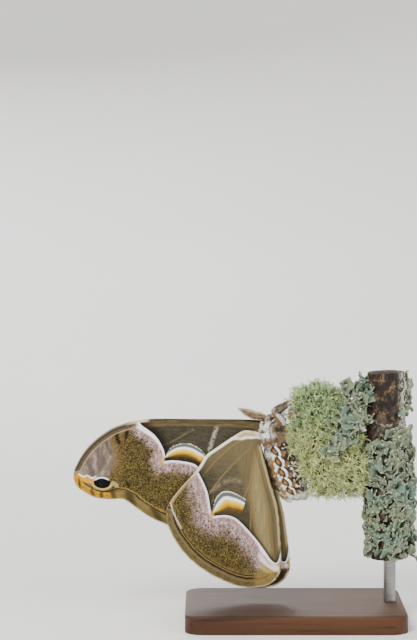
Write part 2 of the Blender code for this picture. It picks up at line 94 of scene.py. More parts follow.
class Finish:
    """A surface finish: a ground colour, then colours laid over it through masks."""

    def __init__(self, name, ground, roughness, sheen=0.0):
        self.material = bpy.data.materials.new(name)
        self.material.use_nodes = True
        self.nodes = self.material.node_tree.nodes
        self.shader = self.nodes["Principled BSDF"]
        self.shader.inputs["Roughness"].default_value = roughness
        self.shader.inputs["Sheen Weight"].default_value = sheen
        self.shader.inputs["Specular IOR Level"].default_value = 0.3
        self.colour = ground
        self.places = self.nodes.new("ShaderNodeTexCoord").outputs["Object"]

    def join(self, value, socket):
        """A number or colour set on a socket, or another socket joined to it."""
        if isinstance(value, bpy.types.NodeSocket):
            self.material.node_tree.links.new(value, socket)
        else:
            socket.default_value = value

    def sum(self, operation, *values):
        """One step of arithmetic."""
        step = self.nodes.new("ShaderNodeMath")
        step.operation = operation
        for value, socket in zip(values, step.inputs):
            self.join(value, socket)
        return step.outputs[0]

    def number(self, name):
        """A number that the mesh carries at each point."""
        found = self.nodes.new("ShaderNodeAttribute")
        found.attribute_name = name
        return found.outputs["Fac"]

    def vector(self, name):
        """A place or direction that the mesh carries at each point."""
        found = self.nodes.new("ShaderNodeAttribute")
        found.attribute_name = name
        return found.outputs["Vector"]

    def parts(self, vector):
        """The three numbers of a vector."""
        split = self.nodes.new("ShaderNodeSeparateXYZ")
        self.join(vector, split.inputs[0])
        return split.outputs

    def ease(self, value, low, high):
        """From 0 at low to 1 at high, or the other way round where low is the greater."""
        step = self.nodes.new("ShaderNodeMapRange")
        step.interpolation_type = "SMOOTHSTEP"
        self.join(value, step.inputs["Value"])
        step.inputs["From Min"].default_value = low
        step.inputs["From Max"].default_value = high
        return step.outputs["Result"]

    def between(self, value, low, high, soft):
        """A mask that is 1 from low to high, with soft edges."""
        rise = self.ease(value, low - soft, low + soft)
        fall = self.ease(value, high + soft, high - soft)
        return self.both(rise, fall)

    def both(self, *masks):
        """Where all masks are."""
        found = masks[0]
        for mask in masks[1:]:
            found = self.sum("MULTIPLY", found, mask)
        return found

    def less(self, mask):
        """Where a mask isn't."""
        return self.sum("SUBTRACT", 1.0, mask)

    def cloud(self, vector, scale, detail=3.0, roughness=0.55):
        """Soft random patches, about 0 to 1."""
        texture = self.nodes.new("ShaderNodeTexNoise")
        self.join(vector, texture.inputs["Vector"])
        texture.inputs["Scale"].default_value = scale
        texture.inputs["Detail"].default_value = detail
        texture.inputs["Roughness"].default_value = roughness
        return texture.outputs["Fac"]

    def grains(self, vector, scale):
        """Small cells, each with a random value."""
        texture = self.nodes.new("ShaderNodeTexVoronoi")
        self.join(vector, texture.inputs["Vector"])
        texture.inputs["Scale"].default_value = scale
        return self.parts(texture.outputs["Color"])[0]

    def stretch(self, vector, scale):
        """A vector with each part multiplied."""
        mapping = self.nodes.new("ShaderNodeMapping")
        self.join(vector, mapping.inputs["Vector"])
        mapping.inputs["Scale"].default_value = scale
        return mapping.outputs["Vector"]

    def near(self, vector, centre, halves, turn=0.0):
        """How far out a place is in an ellipse, as a share of the way to its edge."""
        mapping = self.nodes.new("ShaderNodeMapping")
        mapping.vector_type = "TEXTURE"
        self.join(vector, mapping.inputs["Vector"])
        mapping.inputs["Location"].default_value = (*centre, 0)
        mapping.inputs["Rotation"].default_value = (0, 0, turn)
        mapping.inputs["Scale"].default_value = (*halves, 1)
        length = self.nodes.new("ShaderNodeVectorMath")
        length.operation = "LENGTH"
        self.join(mapping.outputs["Vector"], length.inputs[0])
        return length.outputs["Value"]

    def lay(self, mask, colour, strength=1.0):
        """Another colour laid over what is there, where the mask is."""
        mix = self.nodes.new("ShaderNodeMix")
        mix.data_type = "RGBA"
        self.join(mask if strength == 1 else self.sum("MULTIPLY", mask, strength), mix.inputs[0])
        self.join(self.colour, mix.inputs[6])
        self.join(colour, mix.inputs[7])
        self.colour = mix.outputs[2]

    def done(self, relief=None, depth=0.0001):
        """The material, with the colours joined to the shader and relief as fine bumps."""
        self.join(self.colour, self.shader.inputs["Base Color"])
        if relief is not None:
            bump = self.nodes.new("ShaderNodeBump")
            bump.inputs["Distance"].default_value = depth
            self.join(relief, bump.inputs["Height"])
            self.join(bump.outputs["Normal"], self.shader.inputs["Normal"])
        return self.material


def mesh_object(name, places, faces, material=None):
    """A smooth-shaded object from places in millimetres and faces."""
    mesh = bpy.data.meshes.new(name)
    mesh.from_pydata((np.asarray(places, float) * MM).tolist(), [], faces)
    mesh.shade_smooth()
    if material is not None:
        mesh.materials.append(material)
    made = bpy.data.objects.new(name, mesh)
    bpy.context.scene.collection.objects.link(made)
    return made


studio_grey = Finish("studio_floor", shade(246, 245, 243), 0.85)
floor_cloud = studio_grey.cloud(studio_grey.places, 3.0)
studio_grey.lay(studio_grey.ease(floor_cloud, 0.3, 0.7), shade(249, 248, 246))
# From the middle outwards: flat, then a wide sweep up into a low wall all round
sweep = [(0.02, 0.0), (0.2, 0.0), (FLOOR_REACH, 0.0)]
SWEEP_STEPS = 12
for i in range(1, SWEEP_STEPS + 1):
    lift = math.pi / 2 * i / SWEEP_STEPS
    sweep.append((FLOOR_REACH + SWEEP_RADIUS * math.sin(lift), SWEEP_RADIUS * (1 - math.cos(lift))))
sweep.append((FLOOR_REACH + SWEEP_RADIUS, WALL_HEIGHT))
SWEEP_SIDES = 96
floor_places, floor_faces = [], [tuple(range(SWEEP_SIDES))]
for out, up in sweep:
    for k in range(SWEEP_SIDES):
        turn = 2 * math.pi * k / SWEEP_SIDES
        floor_places.append((out * math.cos(turn) / MM, out * math.sin(turn) / MM, up / MM))
for i in range(len(sweep) - 1):
    for k in range(SWEEP_SIDES):
        a, b = i * SWEEP_SIDES + k, i * SWEEP_SIDES + (k + 1) % SWEEP_SIDES
        floor_faces.append((a, a + SWEEP_SIDES, b + SWEEP_SIDES, b))
floor = mesh_object("studio_floor", floor_places, floor_faces, studio_grey.done())

world = bpy.data.worlds.new("studio_air")
world.use_nodes = True
world.node_tree.nodes["Background"].inputs["Color"].default_value = shade(236, 237, 240)
world.node_tree.nodes["Background"].inputs["Strength"].default_value = 0.8
bpy.context.scene.world = world

wing_middle = Vector((
    (PHOTO_SIZE[0] / 2 - PHOTO_ORIGIN[0]) * PHOTO_SCALE * MM,
    0.0,
    (PHOTO_ORIGIN[1] - PHOTO_SIZE[1] / 2) * PHOTO_SCALE * MM,
))
camera_distance = PHOTO_SIZE[1] * PHOTO_SCALE * MM * LENS / SENSOR
camera_data = bpy.data.cameras.new("camera")
camera_data.lens = LENS
camera_data.sensor_width = SENSOR
camera_data.clip_start = 0.01
camera = bpy.data.objects.new("camera", camera_data)
bpy.context.scene.collection.objects.link(camera)
camera_way = Vector((0, -math.cos(CAMERA_RISE), math.sin(CAMERA_RISE)))
camera.location = wing_middle + camera_way * camera_distance
camera.rotation_euler = (math.pi / 2 - CAMERA_RISE, 0, 0)
bpy.context.scene.camera = camera

LIGHTS = (
    ("key_light", (-0.35, -0.75, 0.65), 0.45, 12.5, (1.0, 0.98, 0.95)),
    ("fill_light", (0.75, -0.55, 0.35), 0.6, 5.0, (0.98, 0.99, 1.0)),
    ("back_light", (-0.2, 0.8, 0.6), 0.5, 6.0, (1.0, 1.0, 1.0)),
)
for light_name, place, size, watts, colour in LIGHTS:
    light_data = bpy.data.lights.new(light_name, "AREA")
    light_data.shape = "DISK"
    light_data.size = size
    light_data.energy = watts
    light_data.color = colour
    light = bpy.data.objects.new(light_name, light_data)
    bpy.context.scene.collection.objects.link(light)
    light.location = place
    light.rotation_euler = (wing_middle - light.location).to_track_quat("-Z", "Y").to_euler()

# Wings: four sheets of membrane under a coat of flat scales, stiffened by veins that stand
# up on both faces. They meet over the back, the hind pair outside, and the pattern of their
# undersides shows. Each is one thin closed sheet that follows its solid's leaning surface.
SHEET_STEP = 0.42
RIM_STEP = 0.3
SHEET_HALF = 0.11
VEIN_RISE = 0.13
VEIN_BREADTH = 0.26
WING_CENTRE = (-11.0, 62.0)
FORE_STAND_OFF = 0.9
LAYER_STEP = 1.2
ROOT_SPREAD = 3.6
ROOT_FADE = 9.0
FLARE_FROM = 30.0
FLARE = 0.9
LEFT_HIND_TURN = math.radians(4.0)
LEFT_HIND_REACH = 1.02
# Places on a wing are distances out from its hinge and heights over it
FORE_HINGE = (-10.8, 64.0)
FORE_OUTLINE = (
    (0.0, 1.9), (7.2, 2.4), (20.3, 2.6), (37.7, 2.6), (47.2, 0.5), (52.6, -2.5), (56.7, -6.0),
    (59.5, -9.6), (61.1, -12.6), (61.9, -15.4), (61.6, -17.7), (60.3, -19.7), (58.1, -21.3),
    (54.4, -23.1), (49.9, -23.6), (46.4, -23.5), (44.2, -24.4), (40.3, -27.2), (36.4, -29.8),
    (31.5, -32.0), (26.2, -33.8), (22.6, -34.1), (20.3, -32.1), (15.4, -25.3), (7.2, -12.1),
    (1.2, -3.4), (0.0, -2.2),
)
FORE_COSTA_ENDS = (0, 9)
FORE_MARGIN_ENDS = (8, 22)
FORE_VEINS = (
    ((1.3, 0.8), (20.0, 0.9), (36.0, 0.4), (47.0, -2.6), (54.5, -8.5), (58.5, -14.0)),
    ((22.5, -0.5), (30.5, -5.0), (41.0, -9.0), (50.0, -13.6), (57.0, -18.6)),
    ((32.8, -9.4), (41.0, -13.6), (48.5, -18.0), (52.5, -21.6)),
    ((1.3, -0.3), (10.0, -4.6), (19.0, -10.2), (26.0, -12.6), (35.0, -17.2), (44.0, -22.6)),
    ((20.5, -12.2), (28.0, -18.6), (37.5, -27.4)),
    ((13.5, -8.0), (21.0, -18.6), (30.5, -31.0)),
    ((1.4, -1.4), (9.0, -8.8), (16.0, -19.4), (23.5, -32.6)),
)
FORE_LINE = (
    (40.6, 2.6), (39.6, 1.0), (37.4, -0.6), (35.0, -2.6), (33.2, -5.2), (32.0, -8.0), (31.9, -10.0),
    (32.4, -10.9), (31.2, -10.9), (29.5, -10.7), (26.2, -11.0), (23.1, -11.6), (21.0, -12.8),
    (19.4, -15.6), (18.4, -19.4), (17.4, -23.4), (16.2, -27.0),
)
FORE_ARCH = (
    (31.9, -9.9), (31.0, -7.8), (29.4, -6.2), (27.3, -5.3), (25.2, -5.0), (22.8, -5.5), (20.6, -6.8),
    (18.9, -8.6), (18.2, -10.4),
)
FORE_CHORD = ((31.9, -9.9), (29.5, -10.3), (26.2, -10.6), (22.6, -11.4), (20.0, -12.4), (18.2, -10.4))
HIND_HINGE = (-11.1, 60.0)
HIND_OUTLINE = (
    (0.0, 2.2), (1.3, 3.0), (5.2, 3.4), (8.2, 2.0), (14.8, -2.5), (18.0, -4.9), (20.3, -8.5),
    (22.8, -11.8), (25.9, -15.1), (28.5, -18.4), (30.3, -21.3), (31.0, -24.3), (30.5, -28.2),
    (27.9, -33.6), (23.6, -39.0), (17.1, -44.0), (8.9, -47.8), (3.6, -48.7), (-0.7, -48.4),
    (-3.9, -46.9), (-6.1, -44.0), (-6.6, -40.3), (-6.4, -34.4), (-5.4, -23.0), (-2.7, -13.1),
    (-0.8, -5.9), (0.0, -2.2),
)
HIND_COSTA_ENDS = (0, 11)
HIND_MARGIN_ENDS = (11, 21)
HIND_INNER_ENDS = (21, 27)
HIND_VEINS = (
    ((1.2, 1.2), (8.0, -0.8), (16.0, -8.0), (22.5, -16.8), (28.8, -26.0)),
    ((1.3, 0.2), (4.6, -3.4), (12.2, -11.2), (19.0, -20.6), (26.0, -32.0)),
    ((16.0, -19.8), (19.6, -28.0), (22.6, -37.4)),
    ((1.4, -1.2), (3.4, -12.6), (6.0, -19.8), (10.6, -26.6), (16.6, -42.0)),
    ((6.2, -21.6), (8.6, -33.0), (10.8, -45.2)),
    ((2.8, -13.6), (3.4, -26.0), (4.2, -46.4)),
    ((0.7, -3.2), (0.9, -14.0), (-1.2, -28.0), (-1.6, -46.0)),
    ((-0.6, -9.6), (-2.0, -16.0), (-4.2, -28.0), (-4.9, -42.6)),
)
HIND_LINE = (
    (21.6, -8.6), (20.4, -10.8), (18.7, -14.2), (17.4, -17.6), (16.8, -21.0), (16.4, -23.6),
    (15.8, -25.0), (14.1, -24.8), (11.6, -24.7), (9.4, -25.2), (7.4, -26.4), (4.4, -29.4), (1.0, -33.4),
    (-1.6, -37.0), (-3.4, -39.6), (-5.0, -40.6), (-5.8, -39.2), (-6.3, -37.2), (-6.8, -35.4),
)
HIND_ARCH = (
    (15.9, -24.2), (15.5, -21.0), (14.4, -18.5), (12.5, -16.9), (10.0, -16.9), (7.4, -18.0),
    (5.2, -19.4), (3.0, -21.4), (1.2, -24.0),
)
HIND_CHORD = (
    (15.9, -24.2), (14.1, -24.4), (11.6, -24.3), (9.4, -24.8), (7.4, -26.0), (4.4, -29.0), (1.0, -33.0),
)
HIND_PLEAT = (
    (1.4, -1.6), (2.6, -8.9), (3.4, -16.7), (2.9, -20.5), (1.7, -28.3), (-0.2, -34.5), (-2.4, -37.8),
    (-3.4, -36.8), (-2.9, -32.1), (-2.2, -24.4), (-1.0, -16.7), (0.1, -8.9), (0.9, -4.5),
)


def smooth_line(points, step):
    """Places about a step apart on the smooth curve through the given ones."""
    points = np.array(points, float)
    fine = []
    for i in range(len(points) - 1):
        start, end = points[i], points[i + 1]
        before = points[i - 1] if i else 2 * start - end
        after = points[i + 2] if i + 2 < len(points) else 2 * end - start
        count = max(1, round(float(np.linalg.norm(end - start)) / step))
        s = (np.arange(count) / count)[:, None]
        fine.append(0.5 * (
            2 * start
            + (end - before) * s
            + (2 * before - 5 * start + 4 * end - after) * s**2
            + (3 * start - before - 3 * end + after) * s**3
        ))
    return np.vstack(fine + [points[-1:]])


def line_distance(places, line):
    """The distance from each place to a line."""
    nearest = np.full(len(places), np.inf)
    for start, end in zip(line[:-1], line[1:]):
        span = end - start
        off = places - start
        share = np.clip(off @ span / (span @ span), 0, 1)
        nearest = np.minimum(nearest, np.linalg.norm(off - share[:, None] * span, axis=1))
    return nearest


def inside(places, edge):
    """Which places lie inside a closed line."""
    found = np.zeros(len(places), bool)
    for a, b in zip(edge, np.roll(edge, -1, axis=0)):
        spans = (a[1] > places[:, 1]) != (b[1] > places[:, 1])
        rise = b[1] - a[1] if b[1] != a[1] else 1.0
        found ^= spans & (places[:, 0] < a[0] + (places[:, 1] - a[1]) / rise * (b[0] - a[0]))
    return found


def signed_distance(places, line, room):
    """The distance to a line, plus inside the room that a closed line bounds and minus outside."""
    return np.where(inside(places, room), 1, -1) * line_distance(places, line)


def sheet_layout(outline):
    """The places of a wing's sheet, its edge first, and the triangles that join them."""
    rim = smooth_line(outline, RIM_STEP)
    low, high = rim.min(0), rim.max(0)
    rows = np.arange(low[1], high[1], SHEET_STEP * 0.87)
    columns = np.arange(low[0], high[0], SHEET_STEP)
    grid = np.array([(c + SHEET_STEP / 2 * (i % 2), r) for i, r in enumerate(rows) for c in columns])
    grid = grid[inside(grid, rim)]
    grid = grid[line_distance(grid, np.vstack([rim, rim[:1]])) > SHEET_STEP * 0.6]
    places = [Vector(place) for place in np.vstack([rim, grid])]
    edges = [(i, (i + 1) % len(rim)) for i in range(len(rim))]
    places, edges, triangles = delaunay_2d_cdt(places, edges, [], 1, 1e-4)[:3]
    return np.array([tuple(place) for place in places]), [tuple(t) for t in triangles]


def lean(x, z, layer):
    """How far a wing layer stands from the middle plane at places in side view."""
    away = np.hypot(x - WING_CENTRE[0], z - WING_CENTRE[1])
    flare = FLARE * (np.maximum(0.0, away - FLARE_FROM) / FLARE_FROM) ** 2
    return FORE_STAND_OFF + layer * LAYER_STEP + ROOT_SPREAD * np.exp(-away / ROOT_FADE) + flare


def wing(name, side, layer, hinge, layout, fields, relief, material, turn=0.0, reach=1.0):
    """A thin closed sheet in its place, which carries its fields for the pattern."""
    places, triangles = layout
    turned = np.array(Matrix.Rotation(turn, 2)) * reach
    x, z = (np.array(hinge) + (places * (-1, 1)) @ turned.T).T
    middle = lean(x, z, layer) + relief
    count = len(places)
    thin = np.clip(fields["rim"] / 1.2, 0.35, 1.0)
    half = SHEET_HALF * thin + VEIN_RISE * thin * np.exp(-((fields["vein"] / VEIN_BREADTH) ** 2))
    outer = np.stack([x, side * (middle + half), z], 1)
    back = np.stack([x, side * (middle - half), z], 1)
    edge_uses = {}
    for a, b, c in triangles:
        for edge in ((a, b), (b, c), (c, a)):
            key = (min(edge), max(edge))
            edge_uses[key] = None if key in edge_uses else edge
    rim = [edge for edge in edge_uses.values() if edge is not None]
    faces = list(triangles)
    faces += [(c + count, b + count, a + count) for a, b, c in triangles]
    faces += [(b, a, a + count, b + count) for a, b in rim]
    if side < 0:
        faces = [face[::-1] for face in faces]
    made = mesh_object(name, np.vstack([outer, back]), faces, material)
    for field, values in fields.items():
        attribute = made.data.attributes.new(field, "FLOAT", "POINT")
        attribute.data.foreach_set("value", np.tile(values, 2).astype(np.float32))
    upper_side = made.data.attributes.new("upper_side", "FLOAT", "POINT")
    upper_side.data.foreach_set("value", np.repeat((0.0, 1.0), count).astype(np.float32))
    place = made.data.attributes.new("place", "FLOAT_VECTOR", "POINT")
    flat = np.hstack([places, np.zeros((count, 1))])
    place.data.foreach_set("vector", np.tile(flat, (2, 1)).astype(np.float32).ravel())
    return made


def vein_distance(places, veins):
    """The distance to the nearest vein, which grows past a vein's tapering end."""
    nearest = np.full(len(places), np.inf)
    for vein in veins:
        nearest = np.minimum(nearest, line_distance(places, smooth_line(vein, 0.8)))
    return nearest


def stroke_distance(places, strokes):
    """The distance to the nearest stroke of a colour, counted in the stroke's half widths."""
    nearest = np.full(len(places), np.inf)
    for half_width, points in strokes:
        nearest = np.minimum(nearest, line_distance(places, smooth_line(points, 0.6)) / half_width)
    return nearest


def wing_fields(places, outline, costa_ends, margin_ends, veins, line, arch, chord, strokes):
    """The distances that a wing's pattern is painted by."""
    rim = smooth_line(outline, RIM_STEP)
    line = smooth_line(line, 0.4)
    arch = smooth_line(arch, 0.4)
    chord = smooth_line(chord, 0.4)
    basal = np.vstack([line, [(-30, line[-1][1] - 20), (-30, 30), (line[0][0], 30)]])
    crescent = np.vstack([arch, chord[::-1]])
    fields = {
        "rim": line_distance(places, np.vstack([rim, rim[:1]])),
        "costa": line_distance(places, smooth_line(outline[slice(*costa_ends)], RIM_STEP)),
        "margin": line_distance(places, smooth_line(outline[slice(*margin_ends)], RIM_STEP)),
        "vein": vein_distance(places, veins),
        "line": -signed_distance(places, line, basal),
        "arch": signed_distance(places, arch, crescent),
        "chord": signed_distance(places, chord, crescent),
    }
    for colour, marks in strokes.items():
        fields[colour] = stroke_distance(places, marks)
    return fields


# Fore wings: olive brown from the root to a white line edged with black, a crescent of
# cream, blue, white, yellow and brown on that line, then pink that fades into yellow with
# black specks, a grey and lilac tip with a black eyespot, and an ochre margin.
FORE_STROKES = {
    "dark_marks": (
        (0.62, ((47.8, -1.9), (47.5, -3.4), (47.0, -4.9))),
        (0.5, ((44.3, -0.9), (44.6, -3.2))),
        (0.22, ((60.2, -16.6), (58.0, -18.6), (56.0, -20.2), (52.6, -21.0), (49.0, -20.7), (46.8, -19.2))),
        (0.5, ((60.1, -16.8), (59.8, -18.4), (59.2, -20.4))),
        (0.24, ((49.3, -18.3), (49.0, -19.8), (49.2, -20.8))),
        (0.34, ((44.6, -17.6), (43.8, -19.8))),
    ),
    "ochre_marks": (
        (0.9, ((49.6, -1.6), (49.2, -4.0), (49.0, -8.0))),
        (0.8, ((46.0, -1.2), (46.1, -4.6))),
        (1.5, ((48.2, -6.6), (47.4, -10.0), (47.6, -15.4))),
        (0.35, ((13.6, 0.9), (14.6, 0.7))),
    ),
    "gold_marks": (
        (0.85, ((60.0, -15.9), (58.4, -16.9), (56.4, -17.4), (55.2, -17.6))),
    ),
    "blotches": (
        (0.75, ((49.4, -20.4), (48.6, -23.4))),
        (1.15, ((43.8, -21.8), (42.6, -25.4))),
        (1.1, ((35.6, -26.6), (33.6, -30.8))),
        (0.5, ((56.0, -20.6), (55.4, -22.6))),
        (0.5, ((52.8, -21.6), (52.6, -23.6))),
        (0.8, ((28.6, -30.6), (27.6, -33.0))),
    ),
    "grey_marks": (
        (0.9, ((54.0, -7.6), (52.0, -11.4))),
        (0.6, ((51.2, -4.6), (49.8, -8.4))),
        (0.8, ((57.2, -10.6), (55.6, -15.0))),
    ),
    "white_marks": (
        (0.24, ((60.2, -15.2), (58.6, -16.2), (57.4, -15.7), (56.0, -16.6), (54.6, -16.1))),
        (0.55, ((14.9, 0.2), (16.0, -3.2), (17.2, -7.2))),
    ),
}
EYESPOT = (52.6, -18.2)
EYESPOT_HALVES = (2.6, 1.72)


def wing_ground(name, ground, deep):
    """What fore and hind wings share: olive brown with ochre veins inside the white line."""
    finish = Finish(name, ground, 0.85)
    finish.shader.inputs["Specular IOR Level"].default_value = 0.12
    place = finish.vector("place")
    line = finish.number("line")
    vein = finish.number("vein")
    rays = finish.cloud(finish.stretch(place, (0.3, 1.1, 1.0)), 1.1, 4.0)
    finish.lay(finish.ease(rays, 0.38, 0.66), deep, 0.9)
    finish.lay(finish.ease(line, -8.5, -0.5), shade(50, 45, 36), 0.6)
    dust = finish.grains(place, 4.6)
    finish.lay(finish.ease(dust, 0.62, 0.95), shade(122, 112, 88), 0.25)
    finish.lay(finish.ease(dust, 0.28, 0.04), shade(46, 40, 31), 0.32)
    broken = finish.ease(finish.cloud(place, 0.5, 2.0), 0.3, 0.5)
    finish.lay(finish.both(finish.ease(vein, 0.46, 0.08), broken), shade(128, 112, 76), 0.5)
    return finish, place, line, vein


def stipple(finish, place, scale, share):
    """Single scales of another colour, as many as the share says."""
    return finish.ease(finish.sum("SUBTRACT", share, finish.grains(place, scale)), 0.0, 0.08)


def beyond_line(finish, place, line, pink_reach):
    """The speckled field outside the white line: yellow and black, pink next to the line."""
    field = finish.ease(line, 0.0, 0.1)
    patches = finish.cloud(place, 0.3, 3.0)
    wander = finish.sum("ADD", line, finish.sum("MULTIPLY", finish.sum("SUBTRACT", patches, 0.5), 5.0))
    pink = finish.ease(wander, pink_reach, 0.0)
    plain = finish.less(pink)
    finish.lay(field, shade(94, 81, 49))
    finish.lay(finish.both(field, finish.ease(pink, 0.0, 0.7)), shade(146, 121, 108))
    lilac = finish.ease(finish.cloud(finish.stretch(place, (1.2, 0.6, 1.0)), 0.9, 4.0, 0.62), 0.4, 0.62)
    finish.lay(finish.both(field, finish.ease(pink, 0.2, 0.95), lilac), shade(206, 188, 192), 0.85)
    streaks = finish.ease(finish.cloud(finish.stretch(place, (1.6, 0.4, 1.0)), 1.2, 2.0), 0.3, 0.55)
    finish.lay(finish.both(field, finish.ease(line, 3.6, 0.9), streaks), shade(178, 124, 130), 0.75)
    yellow_share = finish.sum("MULTIPLY", plain, 0.34)
    finish.lay(finish.both(field, stipple(finish, place, 4.2, yellow_share)), shade(150, 131, 70), 0.8)
    dense = finish.sum("ADD", finish.sum("MULTIPLY", finish.ease(patches, 0.35, 0.65), 0.2), 0.27)
    dark_share = finish.sum("ADD", finish.sum("MULTIPLY", plain, dense), 0.06)
    finish.lay(finish.both(field, stipple(finish, place, 3.5, dark_share)), shade(34, 29, 20), 0.88)
    fine_share = finish.sum("ADD", finish.sum("MULTIPLY", plain, 0.26), 0.12)
    finish.lay(finish.both(field, stipple(finish, place, 5.2, fine_share)), shade(52, 44, 30), 0.7)
    finish.lay(finish.both(field, pink, stipple(finish, place, 3.6, 0.1)), shade(230, 222, 226), 0.5)


def white_line(finish, place, line, breadth, dark_reach, dark_strength):
    """The white line, with its dark inner edge and its feathered outer one."""
    feather = finish.cloud(place, 2.6, 4.0, 0.7)
    rough_line = finish.sum("ADD", line, finish.sum("MULTIPLY", finish.sum("SUBTRACT", feather, 0.5), 1.7))
    shadow = finish.both(finish.ease(line, -dark_reach, -0.1), finish.ease(line, 0.4, 0.2))
    finish.lay(shadow, shade(26, 22, 18), dark_strength)
    outer = finish.ease(finish.sum("SUBTRACT", rough_line, breadth), 0.4, -0.3)
    finish.lay(finish.both(finish.ease(line, 0.0, 0.28), outer), shade(242, 240, 246))


def crescent_bands(finish, place, room, widest, lower_edge):
    """The crescent: cream, blue grey, white, yellow and dark brown, from its arch inwards."""
    arch = finish.number("arch")
    chord = finish.number("chord")
    room = finish.both(room, finish.ease(arch, -0.06, 0.06), finish.ease(chord, -0.06, 0.06))
    breadth = finish.sum("MINIMUM", finish.sum("ADD", arch, chord), widest)
    share = finish.sum("DIVIDE", arch, finish.sum("MAXIMUM", breadth, 0.01))
    share = finish.sum("ADD", share, finish.sum("MULTIPLY", finish.cloud(place, 2.2, 3.0), 0.07))
    finish.lay(room, shade(82, 68, 46))
    finish.lay(finish.both(room, finish.ease(chord, 2.4, 0.3)), shade(38, 31, 23), lower_edge)
    for low, high, soft, colour in (
        (0.5, 0.84, 0.12, shade(102, 82, 44)),
        (0.42, 0.68, 0.08, shade(208, 158, 16)),
        (0.4, 0.56, 0.05, shade(238, 200, 30)),
        (0.24, 0.42, 0.04, shade(240, 240, 240)),
        (0.08, 0.27, 0.05, shade(98, 108, 110)),
        (-0.1, 0.09, 0.03, shade(236, 226, 196)),
    ):
        finish.lay(finish.both(room, finish.between(share, low, high, soft)), colour)
    rim = finish.both(finish.between(arch, -0.7, -0.05, 0.3), finish.ease(chord, -0.2, 0.1))
    finish.lay(rim, shade(34, 29, 23), 0.8)


def scale_relief(finish, place, vein):
    """The fine relief of overlapping scales, for bumps."""
    rows = finish.grains(place, 5.5)
    folds = finish.sum("MAXIMUM", finish.cloud(place, 1.6, 3.0), finish.ease(vein, 0.4, 0.0))
    return finish.sum("ADD", finish.sum("MULTIPLY", rows, 0.5), folds)


fore, place, line, vein = wing_ground("fore_wing_scales", shade(74, 69, 56), shade(56, 52, 43))
costa = fore.number("costa")
margin = fore.number("margin")
beyond_line(fore, place, line, 7.2)
white_marks = fore.number("white_marks")
inner_field = fore.ease(line, 0.0, -0.1)
out_place = fore.parts(place)[0]
up_place = fore.parts(place)[1]
smudge = fore.cloud(place, 1.1, 4.0, 0.6)
smudges = fore.ease(smudge, 0.36, 0.58)
antemedial = fore.both(inner_field, fore.ease(white_marks, 1.9, 0.1), smudges)
fore.lay(antemedial, shade(196, 188, 172), 0.7)
costal_grain = fore.cloud(fore.stretch(place, (0.12, 1.6, 1.0)), 1.8, 3.0)
costal_band = fore.both(inner_field, fore.between(costa, 0.0, 2.0, 0.5))
fore.lay(costal_band, shade(92, 81, 55), 0.85)
fore.lay(fore.both(costal_band, fore.ease(costal_grain, 0.48, 0.62)), shade(68, 59, 41), 0.75)
fore.lay(fore.both(costal_band, fore.ease(costal_grain, 0.44, 0.36)), shade(124, 106, 70), 0.5)
fore.lay(fore.both(inner_field, fore.between(costa, 1.7, 1.95, 0.2)), shade(132, 106, 64), 0.45)
line_breadth = fore.sum("ADD", fore.sum("MULTIPLY", fore.ease(up_place, -8.0, 0.5), 0.95), 0.7)
white_line(fore, place, line, line_breadth, 3.4, 0.92)
crescent_bands(fore, place, 1.0, 20.0, 0.9)
fore.lay(fore.ease(fore.near(place, (32.8, -10.9), (0.9, 1.9)), 1.3, 0.4), shade(192, 158, 86), 0.85)
tip = fore.ease(fore.near(place, (57.2, -9.2), (9.4, 9.4)), 1.12, 0.82)
tip_cloud = fore.cloud(fore.stretch(place, (1.1, 0.45, 1.0)), 0.62, 4.0, 0.6)
fore.lay(fore.both(tip, fore.ease(costa, 1.2, 2.4)), shade(130, 115, 102), 0.95)
fore.lay(fore.both(tip, fore.ease(tip_cloud, 0.52, 0.38)), shade(166, 150, 142), 0.75)
fore.lay(fore.both(tip, fore.ease(tip_cloud, 0.52, 0.64)), shade(96, 85, 76), 0.75)
fore.lay(fore.both(tip, stipple(fore, place, 3.4, 0.2)), shade(104, 88, 76), 0.5)
fore.lay(fore.ease(fore.number("grey_marks"), 1.9, 0.1), shade(90, 80, 78), 0.75)
ochre_streaks = fore.both(fore.ease(fore.number("ochre_marks"), 1.7, 0.2), fore.ease(smudge, 0.32, 0.56))
fore.lay(ochre_streaks, shade(136, 110, 68), 0.65)
fore.lay(fore.both(ochre_streaks, stipple(fore, place, 3.0, 0.34)), shade(70, 54, 32), 0.75)
bold_marks = fore.ease(fore.number("dark_marks"), 1.6, 0.4)
fore.lay(fore.both(bold_marks, fore.ease(smudge, 0.24, 0.4)), shade(36, 28, 19), 0.92)
outside = fore.ease(line, 0.2, 1.6)
apex = fore.both(outside, fore.ease(out_place, 38.5, 43.0))
fore.lay(fore.both(apex, fore.between(costa, 0.0, 1.7, 0.35)), shade(100, 89, 72))
fore.lay(fore.both(apex, fore.between(costa, 0.25, 0.85, 0.3)), shade(54, 47, 40), 0.85)
fore.lay(fore.both(apex, fore.between(costa, 0.2, 1.5, 0.3), smudges), shade(66, 57, 47), 0.6)
fore.lay(fore.both(apex, fore.between(costa, 1.9, 2.15, 0.22)), shade(196, 164, 132), 0.8)
pale_reach = fore.both(fore.ease(out_place, 36.5, 38.5), fore.ease(out_place, 46.0, 41.0))
fore.lay(fore.both(fore.ease(costa, 1.0, 0.2), pale_reach), shade(216, 200, 166))
fore.lay(fore.both(apex, fore.between(costa, 0.0, 0.24, 0.12)), shade(176, 160, 128), 0.8)
low_edge = fore.ease(up_place, -14.6, -16.2)
tipward = fore.ease(out_place, 45.0, 51.0)
rootward = fore.less(tipward)
waver = fore.sum("MULTIPLY", fore.sum("SUBTRACT", fore.cloud(place, 0.35, 2.0), 0.5), 1.6)
wavy_margin = fore.sum("ADD", margin, waver)
fore.lay(fore.both(low_edge, fore.ease(wavy_margin, 3.3, 3.0), rootward), shade(113, 100, 62))
